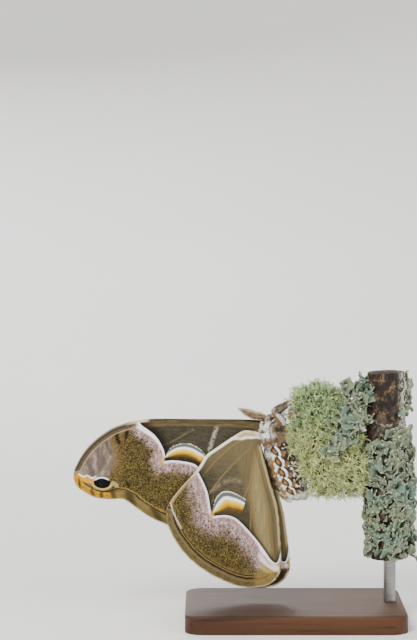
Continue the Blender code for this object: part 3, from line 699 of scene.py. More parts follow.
fore.lay(fore.both(low_edge, fore.ease(margin, 2.3, 1.9), tipward), shade(198, 152, 58))
gold_shadow = fore.both(low_edge, tipward, fore.between(margin, 0.4, 1.7, 0.3), smudges)
fore.lay(gold_shadow, shade(146, 104, 44), 0.75)
fore.lay(fore.both(low_edge, fore.between(margin, 1.5, 2.5, 0.4), rootward), shade(138, 118, 74), 0.5)
blotches = fore.ease(fore.number("blotches"), 1.9, 0.3)
fore.lay(fore.both(low_edge, fore.ease(wavy_margin, 3.2, 2.6), blotches), shade(60, 50, 34), 0.85)
fore.lay(fore.both(low_edge, fore.between(wavy_margin, 3.0, 3.34, 0.14), rootward), shade(34, 28, 20))
fore.lay(fore.both(low_edge, fore.between(wavy_margin, 3.45, 3.8, 0.2), rootward), shade(172, 138, 80), 0.75)
fore.lay(fore.both(low_edge, fore.between(margin, 0.0, 0.25, 0.15)), shade(196, 172, 118), 0.85)
fore.lay(fore.ease(fore.number("gold_marks"), 1.5, 0.6), shade(216, 162, 52), 0.95)
fore.lay(fore.ease(fore.near(place, (60.0, -18.2), (0.45, 2.2), -0.12), 1.4, 0.5), shade(72, 52, 26), 0.8)
spot = fore.near(place, EYESPOT, EYESPOT_HALVES, 0.08)
spot_low = fore.ease(up_place, EYESPOT[1] + 0.5, EYESPOT[1] - 0.9)
spot_high = fore.ease(up_place, EYESPOT[1] + 0.7, EYESPOT[1] + 1.2)
fore.lay(fore.ease(fore.near(place, (48.3, -18.7), (1.5, 0.75), 0.7), 1.2, 0.7), shade(176, 160, 108), 0.8)
fore.lay(fore.both(fore.ease(spot, 1.55, 1.2), spot_low), shade(208, 180, 112), 0.9)
fore.lay(fore.ease(spot, 1.12, 1.0), shade(5, 5, 6))
fore.lay(fore.both(fore.ease(spot, 0.9, 0.4), stipple(fore, place, 4.0, 0.25)), shade(38, 46, 56), 0.6)
fore.lay(fore.both(fore.between(spot, 0.88, 1.12, 0.1), spot_high), shade(236, 240, 246))
toothed = fore.sum("ADD", white_marks, fore.sum("MULTIPLY", smudge, 0.6))
fore.lay(fore.both(fore.ease(toothed, 1.7, 0.9), outside), shade(242, 232, 226), 0.92)
fore_scales = fore.done(scale_relief(fore, place, vein), 0.00006)

fore_layout = sheet_layout(FORE_OUTLINE)
fore_fields = wing_fields(
    fore_layout[0], FORE_OUTLINE, FORE_COSTA_ENDS, FORE_MARGIN_ENDS, FORE_VEINS, FORE_LINE,
    FORE_ARCH, FORE_CHORD, FORE_STROKES,
)
fore_waves = 0.06 * np.cos(fore_fields["vein"] * 1.6)
for side_name, side in (("right", -1), ("left", 1)):
    piece = wing(
        "wing_fore_" + side_name, side, 0, FORE_HINGE, fore_layout, fore_fields, fore_waves, fore_scales,
    )
    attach(piece, "root")
    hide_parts("forewing_" + side_name)

# Hind wings: marked like the fore wings, with a pale leading edge, two dark lines along the
# margin and a fan of soft pleats beside the body.
HIND_STROKES = {
    "pale_marks": (
        (0.5, ((6.6, -13.4), (10.0, -13.0), (13.6, -14.6), (16.4, -17.2))),
    ),
    "white_marks": (
        (0.17, ((29.7, -20.6), (29.0, -23.4), (27.4, -27.0), (26.2, -29.2))),
    ),
    "ochre_marks": (
        (0.5, ((0.4, -41.6), (-2.2, -43.4), (-5.4, -43.0))),
        (0.3, ((-5.9, -43.6), (-6.3, -40.0), (-6.1, -34.0), (-5.1, -23.0), (-2.5, -13.6))),
    ),
}
hind, place, line, vein = wing_ground("hind_wing_scales", shade(95, 87, 69), shade(73, 68, 55))
costa = hind.number("costa")
margin = hind.number("margin")
inner = hind.number("inner")
pleat = hind.number("pleat")
out_place = hind.parts(place)[0]
up_place = hind.parts(place)[1]
inner_field = hind.ease(line, 0.0, -0.1)
smudge = hind.cloud(place, 0.9, 4.0, 0.6)
smudges = hind.ease(smudge, 0.36, 0.58)
hind.lay(hind.both(inner_field, hind.ease(up_place, -13.0, -3.0)), shade(117, 105, 77), 0.65)
pale_band = hind.both(inner_field, hind.ease(hind.number("pale_marks"), 2.6, 0.0), smudges)
hind.lay(pale_band, shade(152, 140, 112), 0.55)
fan = hind.ease(inner, 10.0, 7.4)
fan_rays = hind.cloud(hind.stretch(place, (2.2, 0.12, 1.0)), 1.0, 3.0)
hind.lay(hind.both(inner_field, fan), shade(115, 104, 76), 0.85)
hind.lay(hind.both(inner_field, fan, hind.ease(fan_rays, 0.5, 0.68)), shade(86, 74, 56), 0.6)
hind.lay(hind.both(inner_field, hind.ease(pleat, -0.9, 0.6)), shade(140, 125, 88), 0.85)
pleat_rays = hind.both(inner_field, hind.ease(pleat, 0.0, 1.2), hind.ease(fan_rays, 0.44, 0.6))
hind.lay(pleat_rays, shade(164, 148, 108), 0.6)
hind.lay(hind.both(inner_field, hind.between(pleat, -0.75, -0.35, 0.25)), shade(144, 116, 66), 0.5)
bold_veins = hind.both(inner_field, hind.ease(vein, 0.36, 0.1), hind.ease(out_place, 22.0, 12.0))
hind.lay(hind.both(bold_veins, hind.ease(out_place, 2.0, 4.0)), shade(146, 122, 74), 0.5)
hind.lay(hind.both(inner_field, hind.between(inner, 1.6, 2.1, 0.3)), shade(76, 64, 46), 0.5)
hind.lay(hind.both(inner_field, hind.between(inner, 0.0, 0.7, 0.25)), shade(188, 168, 124), 0.85)
beyond_line(hind, place, line, 10.5)
line_breadth = hind.sum("ADD", hind.sum("MULTIPLY", hind.ease(up_place, -33.0, -38.0), 0.6), 0.68)
white_line(hind, place, line, line_breadth, 1.3, 0.75)
# A leaning vein cuts the hind crescent off, where its bands have grown narrow
band_breadth = hind.sum("ADD", hind.sum("MULTIPLY", out_place, 0.62), 1.3)
cut = hind.sum("ADD", out_place, hind.sum("MULTIPLY", up_place, 0.28))
crescent_bands(hind, place, hind.ease(cut, -0.6, -0.3), band_breadth, 0.25)
hind.lay(hind.ease(hind.near(place, (16.2, -24.7), (0.9, 1.5)), 1.3, 0.4), shade(192, 158, 86), 0.85)
root_pale = hind.ease(up_place, -14.0, -7.0)
far_edge = hind.both(hind.ease(up_place, -22.0, -20.0), hind.ease(out_place, 4.0, 7.0))
hind.lay(hind.both(far_edge, hind.ease(costa, 1.15, 0.75)), shade(160, 136, 88))
hind.lay(hind.both(far_edge, hind.between(costa, 0.0, 0.3, 0.15)), shade(206, 188, 142), 0.8)
root_swell = hind.both(hind.ease(out_place, 9.8, 5.2), hind.ease(out_place, -1.5, 4.0))
bulge = hind.sum("MULTIPLY", root_swell, 1.8)
over_band = hind.sum("SUBTRACT", costa, bulge)
band_grain = hind.cloud(hind.stretch(place, (0.35, 1.4, 1.0)), 1.6, 3.0)
over_band = hind.sum("ADD", over_band, hind.sum("MULTIPLY", band_grain, 0.35))
root_band = hind.both(root_pale, hind.ease(over_band, 1.3, 0.8))
hind.lay(root_band, shade(196, 184, 160))
hind.lay(hind.both(root_band, hind.ease(band_grain, 0.42, 0.58)), shade(228, 220, 202), 0.8)
hind.lay(hind.both(root_pale, hind.between(over_band, 0.25, 0.95, 0.25)), shade(240, 236, 228), 0.75)
root_ochre = hind.both(hind.ease(out_place, 8.6, 6.4), hind.between(costa, 0.7, 1.7, 0.4))
hind.lay(hind.both(root_ochre, hind.ease(out_place, 0.6, 2.4)), shade(178, 144, 94), 0.85)
outside = hind.ease(line, 0.2, 1.2)
lower = hind.both(outside, hind.ease(up_place, -19.8, -21.4))
wavy = hind.sum("MULTIPLY", hind.sum("SUBTRACT", hind.cloud(place, 0.4, 2.0), 0.5), 0.7)
sinking = hind.sum("MULTIPLY", hind.ease(up_place, -24.0, -34.0), 0.6)
bands = hind.sum("SUBTRACT", hind.sum("ADD", margin, wavy), sinking)
hind.lay(hind.both(lower, hind.ease(bands, 4.6, 3.6), smudges), shade(126, 107, 66), 0.8)
hind.lay(hind.both(lower, hind.ease(bands, 3.5, 3.3)), shade(130, 108, 66), 0.9)
hind.lay(hind.both(lower, hind.ease(bands, 2.4, 2.1)), shade(108, 95, 64))
hind.lay(hind.both(lower, hind.ease(bands, 1.5, 1.1), hind.ease(smudge, 0.45, 0.62)), shade(70, 60, 41), 0.6)
hind.lay(hind.both(lower, hind.between(bands, 1.25, 1.6, 0.25)), shade(140, 120, 78), 0.5)
hind.lay(hind.both(lower, hind.between(bands, 2.05, 2.6, 0.14)), shade(28, 24, 19))
hind.lay(hind.both(lower, hind.between(bands, 3.05, 3.35, 0.14)), shade(32, 26, 19))
hind.lay(hind.both(lower, hind.between(margin, 0.0, 0.25, 0.14)), shade(188, 170, 126), 0.85)
far_streak = hind.both(hind.ease(hind.number("white_marks"), 2.2, 0.6), hind.ease(smudge, 0.3, 0.5))
hind.lay(hind.both(far_streak, outside), shade(218, 206, 210), 0.85)
corner = hind.both(outside, hind.ease(out_place, 3.2, 0.6))
hind.lay(hind.both(corner, hind.ease(margin, 5.6, 4.6)), shade(146, 124, 76), 0.8)
hind.lay(hind.both(corner, hind.between(margin, 2.4, 2.8, 0.3)), shade(96, 80, 50), 0.5)
gold_edge = hind.both(outside, hind.ease(hind.number("ochre_marks"), 1.9, 0.3))
hind.lay(gold_edge, shade(202, 168, 94), 0.7)
white_corner = hind.ease(hind.near(place, (-2.6, -40.4), (4.4, 1.7), 0.68), 1.2, 0.7)
hind.lay(hind.both(outside, white_corner), shade(236, 224, 222), 0.9)
pink_corner = hind.ease(hind.near(place, (-1.9, -39.7), (2.6, 0.5), 0.85), 1.4, 0.5)
hind.lay(hind.both(outside, pink_corner), shade(206, 150, 148), 0.8)
hind.lay(hind.both(outside, hind.ease(inner, 0.5, 0.2)), shade(222, 212, 192), 0.7)
low_corner = hind.both(corner, hind.ease(up_place, -42.2, -43.4))
dark_corner = hind.both(low_corner, hind.number("upper_side"), hind.between(margin, 0.55, 3.8, 0.4))
hind.lay(dark_corner, shade(58, 46, 32), 0.92)
hind.lay(hind.both(corner, hind.between(margin, 0.0, 0.3, 0.15)), shade(222, 213, 190), 0.85)
hind_scales = hind.done(scale_relief(hind, place, vein), 0.00006)

hind_layout = sheet_layout(HIND_OUTLINE)
hind_fields = wing_fields(
    hind_layout[0], HIND_OUTLINE, HIND_COSTA_ENDS, HIND_MARGIN_ENDS, HIND_VEINS, HIND_LINE,
    HIND_ARCH, HIND_CHORD, HIND_STROKES,
)
inner_margin = smooth_line(HIND_OUTLINE[slice(*HIND_INNER_ENDS)], RIM_STEP)
hind_fields["inner"] = line_distance(hind_layout[0], inner_margin)
pleat_edge = smooth_line(HIND_PLEAT + HIND_PLEAT[:1], 0.5)
hind_fields["pleat"] = signed_distance(hind_layout[0], pleat_edge, pleat_edge)
fold_fade = np.clip(1.3 - hind_fields["inner"] / 9.0, 0, 1)
hind_waves = 0.06 * np.cos(hind_fields["vein"] * 1.6)
hind_waves = hind_waves + 0.16 * fold_fade * np.sin(hind_fields["inner"] * 2.1)
for side_name, side, turn, reach in (("right", -1, 0.0, 1.0), ("left", 1, LEFT_HIND_TURN, LEFT_HIND_REACH)):
    piece = wing(
        "wing_hind_" + side_name, side, 1, HIND_HINGE, hind_layout, hind_fields, hind_waves, hind_scales,
        turn, reach,
    )
    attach(piece, "root")
    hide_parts("hindwing_" + side_name)

# Wing fringes: loose hair scales in a row along the outer and inner margins, rooted just
# inside the edge and lying in the plane of the wing.
GROW_SEED = 20
# How large a lock is on its coat's UV map
PATCH_SIZE = 0.003


def grow_tree():
    """Geometry nodes that set a random lock on each root, realize the locks and finish them."""
    tree = bpy.data.node_groups.new("grown_locks", "GeometryNodeTree")
    sockets = (
        ("Roots", "NodeSocketGeometry"), ("Locks", "NodeSocketCollection"), ("Length", "NodeSocketFloat"),
        ("Thickness", "NodeSocketFloat"), ("Variation", "NodeSocketFloat"), ("Seed", "NodeSocketInt"),
        ("Patch", "NodeSocketFloat"), ("Finish", "NodeSocketMaterial"),
    )
    for socket_name, kind in sockets:
        tree.interface.new_socket(socket_name, in_out="INPUT", socket_type=kind)
    tree.interface.new_socket("Locks in place", in_out="OUTPUT", socket_type="NodeSocketGeometry")
    given = tree.nodes.new("NodeGroupInput").outputs

    def add(kind, settings=(), **values):
        made = tree.nodes.new(kind)
        for setting, value in settings:
            setattr(made, setting, value)
        for socket_name, value in values.items():
            socket = next(s for s in made.inputs if s.enabled and s.name == socket_name.replace("_", " "))
            if isinstance(value, bpy.types.NodeSocket):
                tree.links.new(value, socket)
            else:
                socket.default_value = value
        return next(s for s in made.outputs if s.enabled)

    def carried(attribute, kind="FLOAT_VECTOR"):
        return add("GeometryNodeInputNamedAttribute", [("data_type", kind)], Name=attribute)

    def product(first, second):
        step = tree.nodes.new("ShaderNodeMath")
        step.operation = "MULTIPLY"
        tree.links.new(first, step.inputs[0])
        tree.links.new(second, step.inputs[1])
        return step.outputs[0]

    locks = add(
        "GeometryNodeCollectionInfo", Collection=given["Locks"], Separate_Children=True, Reset_Children=True,
    )
    along = add("FunctionNodeAlignRotationToVector", [("axis", "Z")], Vector=carried("lie"))
    faced = add(
        "FunctionNodeAlignRotationToVector", [("axis", "Y"), ("pivot_axis", "Z")], Rotation=along,
        Vector=carried("face"),
    )
    which = add(
        "FunctionNodeRandomValue", [("data_type", "INT")], Min=0, Max=997, Seed=given["Seed"],
    )
    spread = add(
        "FunctionNodeRandomValue", [("data_type", "FLOAT")], Min=-1.0, Max=1.0, Seed=given["Seed"],
    )
    varied = tree.nodes.new("ShaderNodeMath")
    varied.operation = "MULTIPLY_ADD"
    tree.links.new(spread, varied.inputs[0])
    tree.links.new(given["Variation"], varied.inputs[1])
    varied.inputs[2].default_value = 1.0
    length = product(product(varied.outputs[0], given["Length"]), carried("reach", "FLOAT"))
    breadth = product(length, given["Thickness"])
    size = add("ShaderNodeCombineXYZ", X=breadth, Y=breadth, Z=length)
    placed = add(
        "GeometryNodeInstanceOnPoints", Points=given["Roots"], Instance=locks, Pick_Instance=True,
        Instance_Index=which, Rotation=faced, Scale=size,
    )
    real = add("GeometryNodeRealizeInstances", Geometry=placed)
    patch = tree.nodes.new("ShaderNodeVectorMath")
    patch.operation = "MULTIPLY_ADD"
    tree.links.new(carried("lock_place"), patch.inputs[0])
    tree.links.new(given["Patch"], patch.inputs[1])
    tree.links.new(carried("root_place"), patch.inputs[2])
    mapped = add(
        "GeometryNodeStoreNamedAttribute", [("data_type", "FLOAT2"), ("domain", "CORNER")], Geometry=real,
        Name="OFBake", Value=patch.outputs[0],
    )
    finished = add("GeometryNodeSetMaterial", Geometry=mapped, Material=given["Finish"])
    result = tree.nodes.new("NodeGroupOutput")
    tree.links.new(finished, result.inputs[0])
    return tree


GROWN = grow_tree()


def lock_set(name, shapes):
    """A hidden collection of lock shapes, each a closed mesh one unit long along its Z."""
    held = bpy.data.collections.new(name)
    bpy.context.scene.collection.children.link(held)
    for i, (places, faces) in enumerate(shapes):
        mesh = bpy.data.meshes.new(name)
        mesh.from_pydata([tuple(place) for place in places], [], faces)
        bm = bmesh.new()
        bm.from_mesh(mesh)
        bmesh.ops.recalc_face_normals(bm, faces=bm.faces)
        bmesh.ops.triangulate(bm, faces=bm.faces)
        bm.to_mesh(mesh)
        bm.free()
        mesh.shade_smooth()
        spread = np.array(places)
        flat = (spread - spread.min(0)) / np.ptp(spread, axis=0).max()
        flat = np.stack([flat[:, 0], flat[:, 2], np.zeros(len(flat))], 1)
        carried = mesh.attributes.new("lock_place", "FLOAT_VECTOR", "POINT")
        carried.data.foreach_set("vector", flat.astype(np.float32).ravel())
        rim = mesh.attributes.new("rim", "FLOAT", "POINT")
        rim.data.foreach_set("value", np.maximum(flat[:, 1], np.abs(flat[:, 0] * 2 - 1)).astype(np.float32))
        tip = mesh.attributes.new("tip", "FLOAT", "POINT")
        tip.data.foreach_set("value", flat[:, 1].astype(np.float32))
        held.objects.link(bpy.data.objects.new(f"{name}_{i}", mesh))
    return held


def unit(vectors):
    """Vectors brought to length 1."""
    return vectors / np.maximum(np.linalg.norm(vectors, axis=-1, keepdims=True), 1e-9)


def grow(name, roots, lie, face, reach, root_place, fields, locks, thickness, finish, vary=0.25):
    """One plain mesh of locks, one on each root, which carries the fields of its root."""
    base = mesh_object(name + "_roots", roots, [])
    for attribute, values in (("lie", lie), ("face", face), ("root_place", root_place)):
        carried = base.data.attributes.new(attribute, "FLOAT_VECTOR", "POINT")
        carried.data.foreach_set("vector", np.asarray(values, np.float32).ravel())
    for attribute, values in {"reach": reach, **fields}.items():
        carried = base.data.attributes.new(attribute, "FLOAT", "POINT")
        carried.data.foreach_set("value", np.broadcast_to(values, len(roots)).astype(np.float32))
    grower = base.modifiers.new("grow", "NODES")
    grower.node_group = GROWN
    inputs = {
        "Locks": locks, "Length": MM, "Thickness": thickness, "Variation": vary, "Seed": GROW_SEED,
        "Patch": PATCH_SIZE, "Finish": finish,
    }
    for item in GROWN.interface.items_tree:
        if item.in_out == "INPUT" and item.name in inputs:
            grower[item.identifier] = inputs[item.name]
    evaluated = base.evaluated_get(bpy.context.evaluated_depsgraph_get())
    mesh = bpy.data.meshes.new_from_object(evaluated)
    mesh.name = name
    for spare in ("lie", "face", "reach", "root_place", "lock_place"):
        if spare in mesh.attributes:
            mesh.attributes.remove(mesh.attributes[spare])
    mesh.shade_smooth()
    bpy.data.objects.remove(base)
    piece = bpy.data.objects.new(name, mesh)
    bpy.context.scene.collection.objects.link(piece)
    return piece


def clear_locks(held):
    """The lock shapes taken out again, once their coat is made."""
    for item in list(held.objects):
        bpy.data.objects.remove(item)
    bpy.data.collections.remove(held)


def hair_shape(breadth, depth, bow, rows=3):
    """A flat tapering hair with three sides, which bows over as it goes."""
    places = []
    for i in range(rows):
        t = i / rows
        wide = breadth * (1 - 0.5 * t * t)
        lift = bow * math.sin(math.pi * t * 0.9)
        places += [(-wide, lift, t), (wide, lift, t), (0.0, lift + depth, t)]
    places.append((0.0, bow * 0.2, 1.0))
    faces = [(0, 2, 1)]
    for i in range(rows - 1):
        for k in range(3):
            j = (k + 1) % 3
            faces.append((3 * i + k, 3 * i + j, 3 * i + 3 + j, 3 * i + 3 + k))
    last = 3 * (rows - 1)
    faces += [(last + k, last + (k + 1) % 3, 3 * rows) for k in range(3)]
    return places, faces


fringe_finish = Finish("wing_fringe", shade(186, 166, 124), 0.8)
fringe_patches = fringe_finish.cloud(fringe_finish.places, 420.0, 2.0)
fringe_finish.lay(fringe_finish.ease(fringe_patches, 0.45, 0.6), shade(112, 92, 62), 0.8)
fringe_scales = fringe_finish.done()
scale_hairs = lock_set("scale_hairs", [hair_shape(0.11, 0.03, bow) for bow in (0.02, 0.06, -0.04)])
fringe_draw = np.random.default_rng(3)
WING_EDGES = (
    ("fore_right", -1, 0, FORE_HINGE, FORE_OUTLINE[8:22], 0.48, 0.0, 1.0),
    ("fore_left", 1, 0, FORE_HINGE, FORE_OUTLINE[8:22], 0.48, 0.0, 1.0),
    ("hind_right", -1, 1, HIND_HINGE, HIND_OUTLINE[9:26], 0.52, 0.0, 1.0),
    ("hind_left", 1, 1, HIND_HINGE, HIND_OUTLINE[9:26], 0.52, LEFT_HIND_TURN, LEFT_HIND_REACH),
)
FRINGE_STEP = 0.085
for edge_name, side, layer, hinge, edge, fringe_length, turn, reach in WING_EDGES:
    line_places = smooth_line(edge, FRINGE_STEP)
    along = unit(np.gradient(line_places, axis=0))
    outward = np.stack([-along[:, 1], along[:, 0]], 1)
    if signed_distance(line_places[5:6] + outward[5:6], line_places, np.array(edge))[0] > 0:
        outward = -outward
    rooted = line_places - outward * 0.3
    turned = np.array(Matrix.Rotation(turn, 2)) * reach
    x, z = (np.array(hinge) + (rooted * (-1, 1)) @ turned.T).T
    y = side * lean(x, z, layer)
    way = (outward * (-1, 1)) @ turned.T + fringe_draw.normal(0, 0.12, (len(x), 2))
    lie = unit(np.stack([way[:, 0], fringe_draw.normal(0, 0.05, len(x)), way[:, 1]], 1))
    face = np.tile((0.0, float(side), 0.0), (len(x), 1))
    spots = np.stack([np.linspace(0.02, 0.98, len(x)), np.full(len(x), 0.5), np.zeros(len(x))], 1)
    piece = grow(
        "fringe_" + edge_name, np.stack([x, y, z], 1), lie, face, np.full(len(x), fringe_length), spots, {},
        scale_hairs, 1.0, fringe_scales,
    )
    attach(piece, "root")
clear_locks(scale_hairs)

# Body: one skin over head, thorax and abdomen, as chitin under scales and wool, with the
# palps and the swellings where the wings are hung. It lies inside the solids by the depth
# of the coat, which is white and woolly in front and short on the ringed abdomen.
BODY = (
    (-8.8, 68.0, 0.6, 0.7), (-8.6, 67.4, 1.5, 1.7), (-8.3, 66.6, 1.8, 2.0), (-7.9, 65.8, 1.8, 2.0),
    (-7.6, 65.0, 2.5, 2.5), (-7.1, 63.9, 3.6, 3.4), (-6.4, 62.0, 4.7, 4.2), (-5.8, 60.2, 4.9, 4.3),
    (-5.4, 58.8, 4.6, 4.2), (-5.1, 57.6, 4.7, 4.4), (-4.5, 55.6, 5.2, 4.8), (-3.6, 52.5, 5.3, 5.0),
    (-2.6, 49.5, 5.3, 5.0), (-1.5, 46.5, 5.2, 4.8), (-0.3, 43.8, 4.8, 4.3), (0.6, 42.2, 4.1, 3.6),
    (1.0, 41.2, 3.3, 2.8), (1.0, 40.7, 2.3, 2.0),
)
PALP = ((-7.2, 0.7, 66.4), (-6.1, 0.8, 67.1), (-5.3, 0.9, 67.8))
PALP_RADII = (0.55, 0.4, 0.2)
EYE_PLACE = (-7.6, 2.0, 67.1)
EYE_RADIUS = 1.05
# Rings of the abdomen: how far down its axis the middle of each ochre spot lies
ABDOMEN_START = (-5.1, 0.0, 57.95)
ABDOMEN_WAY = (0.315, 0.0, -0.949)
SPOTS_DOWN = (0.8, 4.4, 8.2, 11.7, 14.8)
RING_LENGTH = 3.6


def body_fields(places):
    """Where places lie on the body: the turn from the back in degrees, and the ring."""
    stations = np.array(BODY)[::-1]
    middle = np.interp(places[:, 2], stations[:, 1], stations[:, 0])
    around = np.degrees(np.arctan2(np.abs(places[:, 1]), middle - places[:, 0]))
    down = (places - ABDOMEN_START) @ np.array(ABDOMEN_WAY)
    ring = 0.5 + np.interp(down, SPOTS_DOWN, np.arange(len(SPOTS_DOWN)))
    ring += (np.minimum(down, SPOTS_DOWN[0]) - SPOTS_DOWN[0]) / RING_LENGTH
    ring += (np.maximum(down, SPOTS_DOWN[-1]) - SPOTS_DOWN[-1]) / RING_LENGTH
    return around, ring


def tube_shape(path, radii, sides):
    """The places and faces of a closed round tube along a path."""
    path = np.asarray(path, float)
    along = unit(np.gradient(path, axis=0))
    away = np.eye(3)[np.abs(along.mean(0)).argmin()]
    side = unit(np.cross(along, away))
    up = np.cross(along, side)
    turns = 2 * np.pi * np.arange(sides) / sides
    offsets = side[:, None] * np.cos(turns)[None, :, None] + up[:, None] * np.sin(turns)[None, :, None]
    rings = path[:, None] + offsets * np.asarray(radii, float)[:, None, None]
    faces = []
    for i in range(len(path) - 1):
        for k in range(sides):
            j = (k + 1) % sides
            faces.append((i * sides + k, i * sides + j, (i + 1) * sides + j, (i + 1) * sides + k))
    faces.append(tuple(range(sides))[::-1])
    faces.append(tuple(range((len(path) - 1) * sides, len(path) * sides)))
    return rings.reshape(-1, 3), faces


def one_skin(name, shapes, voxel, rounds):
    """One closed skin over several closed shapes, with the joins between them smoothed."""
    places, faces = [], []
    for shape_places, shape_faces in shapes:
        faces += [tuple(i + len(places) for i in face) for face in shape_faces]
        places += [tuple(place) for place in shape_places]
    made = mesh_object(name, places, faces)
    bm = bmesh.new()
    bm.from_mesh(made.data)
    bmesh.ops.recalc_face_normals(bm, faces=bm.faces)
    bm.to_mesh(made.data)
    bm.free()
    remesh = made.modifiers.new("skin", "REMESH")
    remesh.mode = "VOXEL"
    remesh.voxel_size = voxel * MM
    smoothing = made.modifiers.new("smooth", "SMOOTH")
    smoothing.factor = 0.5
    smoothing.iterations = rounds
    evaluated = made.evaluated_get(bpy.context.evaluated_depsgraph_get())
    mesh = bpy.data.meshes.new_from_object(evaluated)
    bpy.data.objects.remove(made)
    mesh.name = name
    mesh.shade_smooth()
    skin = bpy.data.objects.new(name, mesh)
    bpy.context.scene.collection.objects.link(skin)
    return skin


def skin_places(skin):
    """A skin's places in millimetres, and its normals."""
    count = len(skin.data.vertices)
    places = np.empty(count * 3)
    skin.data.vertices.foreach_get("co", places)
    normals = np.empty(count * 3)
    skin.data.vertex_normals.foreach_get("vector", normals)
    return places.reshape(-1, 3) / MM, normals.reshape(-1, 3)


def scatter(skin, count, draw, weight):
    """Random roots on a skin, more where the weight is greater: corners and their shares."""
    skin.data.calc_loop_triangles()
    corners = np.empty(len(skin.data.loop_triangles) * 3, int)
    skin.data.loop_triangles.foreach_get("vertices", corners)
    corners = corners.reshape(-1, 3)
    areas = np.empty(len(corners))
    skin.data.loop_triangles.foreach_get("area", areas)
    chance = areas * weight[corners].mean(1)
    picked = draw.choice(len(corners), count, p=chance / chance.sum())
    first, second = draw.random(count), draw.random(count)
    over = first + second > 1
    first[over], second[over] = 1 - first[over], 1 - second[over]
    return corners[picked], np.stack([first, second, 1 - first - second], 1)


def at_roots(values, corners, shares):
    """What a skin's points carry, read at its roots."""
    if values.ndim == 1:
        return (values[corners] * shares).sum(1)
    return (values[corners] * shares[..., None]).sum(1)


def carry(piece, fields):
    """Numbers set on a piece's points for its finish to read."""
    for field, values in fields.items():
        attribute = piece.data.attributes.new(field, "FLOAT", "POINT")
        attribute.data.foreach_set("value", np.asarray(values, np.float32))


BODY_SIDES = 48
body_fine = smooth_line(BODY, 0.7)
body_middles = np.stack([body_fine[:, 0], body_fine[:, 0] * 0, body_fine[:, 1]], 1)
_, fine_ring = body_fields(body_middles)
groove = np.where(fine_ring > 0, 0.05 * np.cos(2 * np.pi * fine_ring), 0)
body_turns = 2 * np.pi * np.arange(BODY_SIDES) / BODY_SIDES
body_way = unit(np.gradient(body_fine[:, :2], axis=0))
across_way = np.stack([-body_way[:, 1], body_way[:, 0] * 0, body_way[:, 0]], 1)
depth_ways = across_way[:, None] * (body_fine[:, 2] * (1 - groove))[:, None, None]
width_ways = np.array((0, 1, 0)) * (body_fine[:, 3] * (1 - groove))[:, None, None]
body_rings = (
    body_middles[:, None]
    + depth_ways * np.cos(body_turns)[None, :, None]
    + width_ways * np.sin(body_turns)[None, :, None]
)
ring_faces = tube_shape(body_middles, np.ones(len(body_fine)), BODY_SIDES)[1]
body_shapes = [(body_rings.reshape(-1, 3), ring_faces)]
for side in (-1, 1):
    palp_path = smooth_line(np.array(PALP) * (1, side, 1), 0.3)
    palp_radii = np.interp(np.linspace(0, 2, len(palp_path)), (0, 1, 2), PALP_RADII)
    body_shapes.append(tube_shape(palp_path, palp_radii, 10))
    for layer, hinge in ((0, FORE_HINGE), (1, HIND_HINGE)):
        mouth = np.array((hinge[0] + 0.5, side * float(lean(hinge[0], hinge[1], layer)), hinge[1]))
        root = mouth + np.array((4.5, side * -2.2, 0.0))
        pad_path = np.linspace(mouth, root, 8)
        body_shapes.append(tube_shape(pad_path, np.linspace(0.75, 1.8, 8), 14))
body_skin = one_skin("body_skin", body_shapes, 0.26, 6)
skin_points, skin_normals = skin_places(body_skin)
around, ring = body_fields(skin_points)


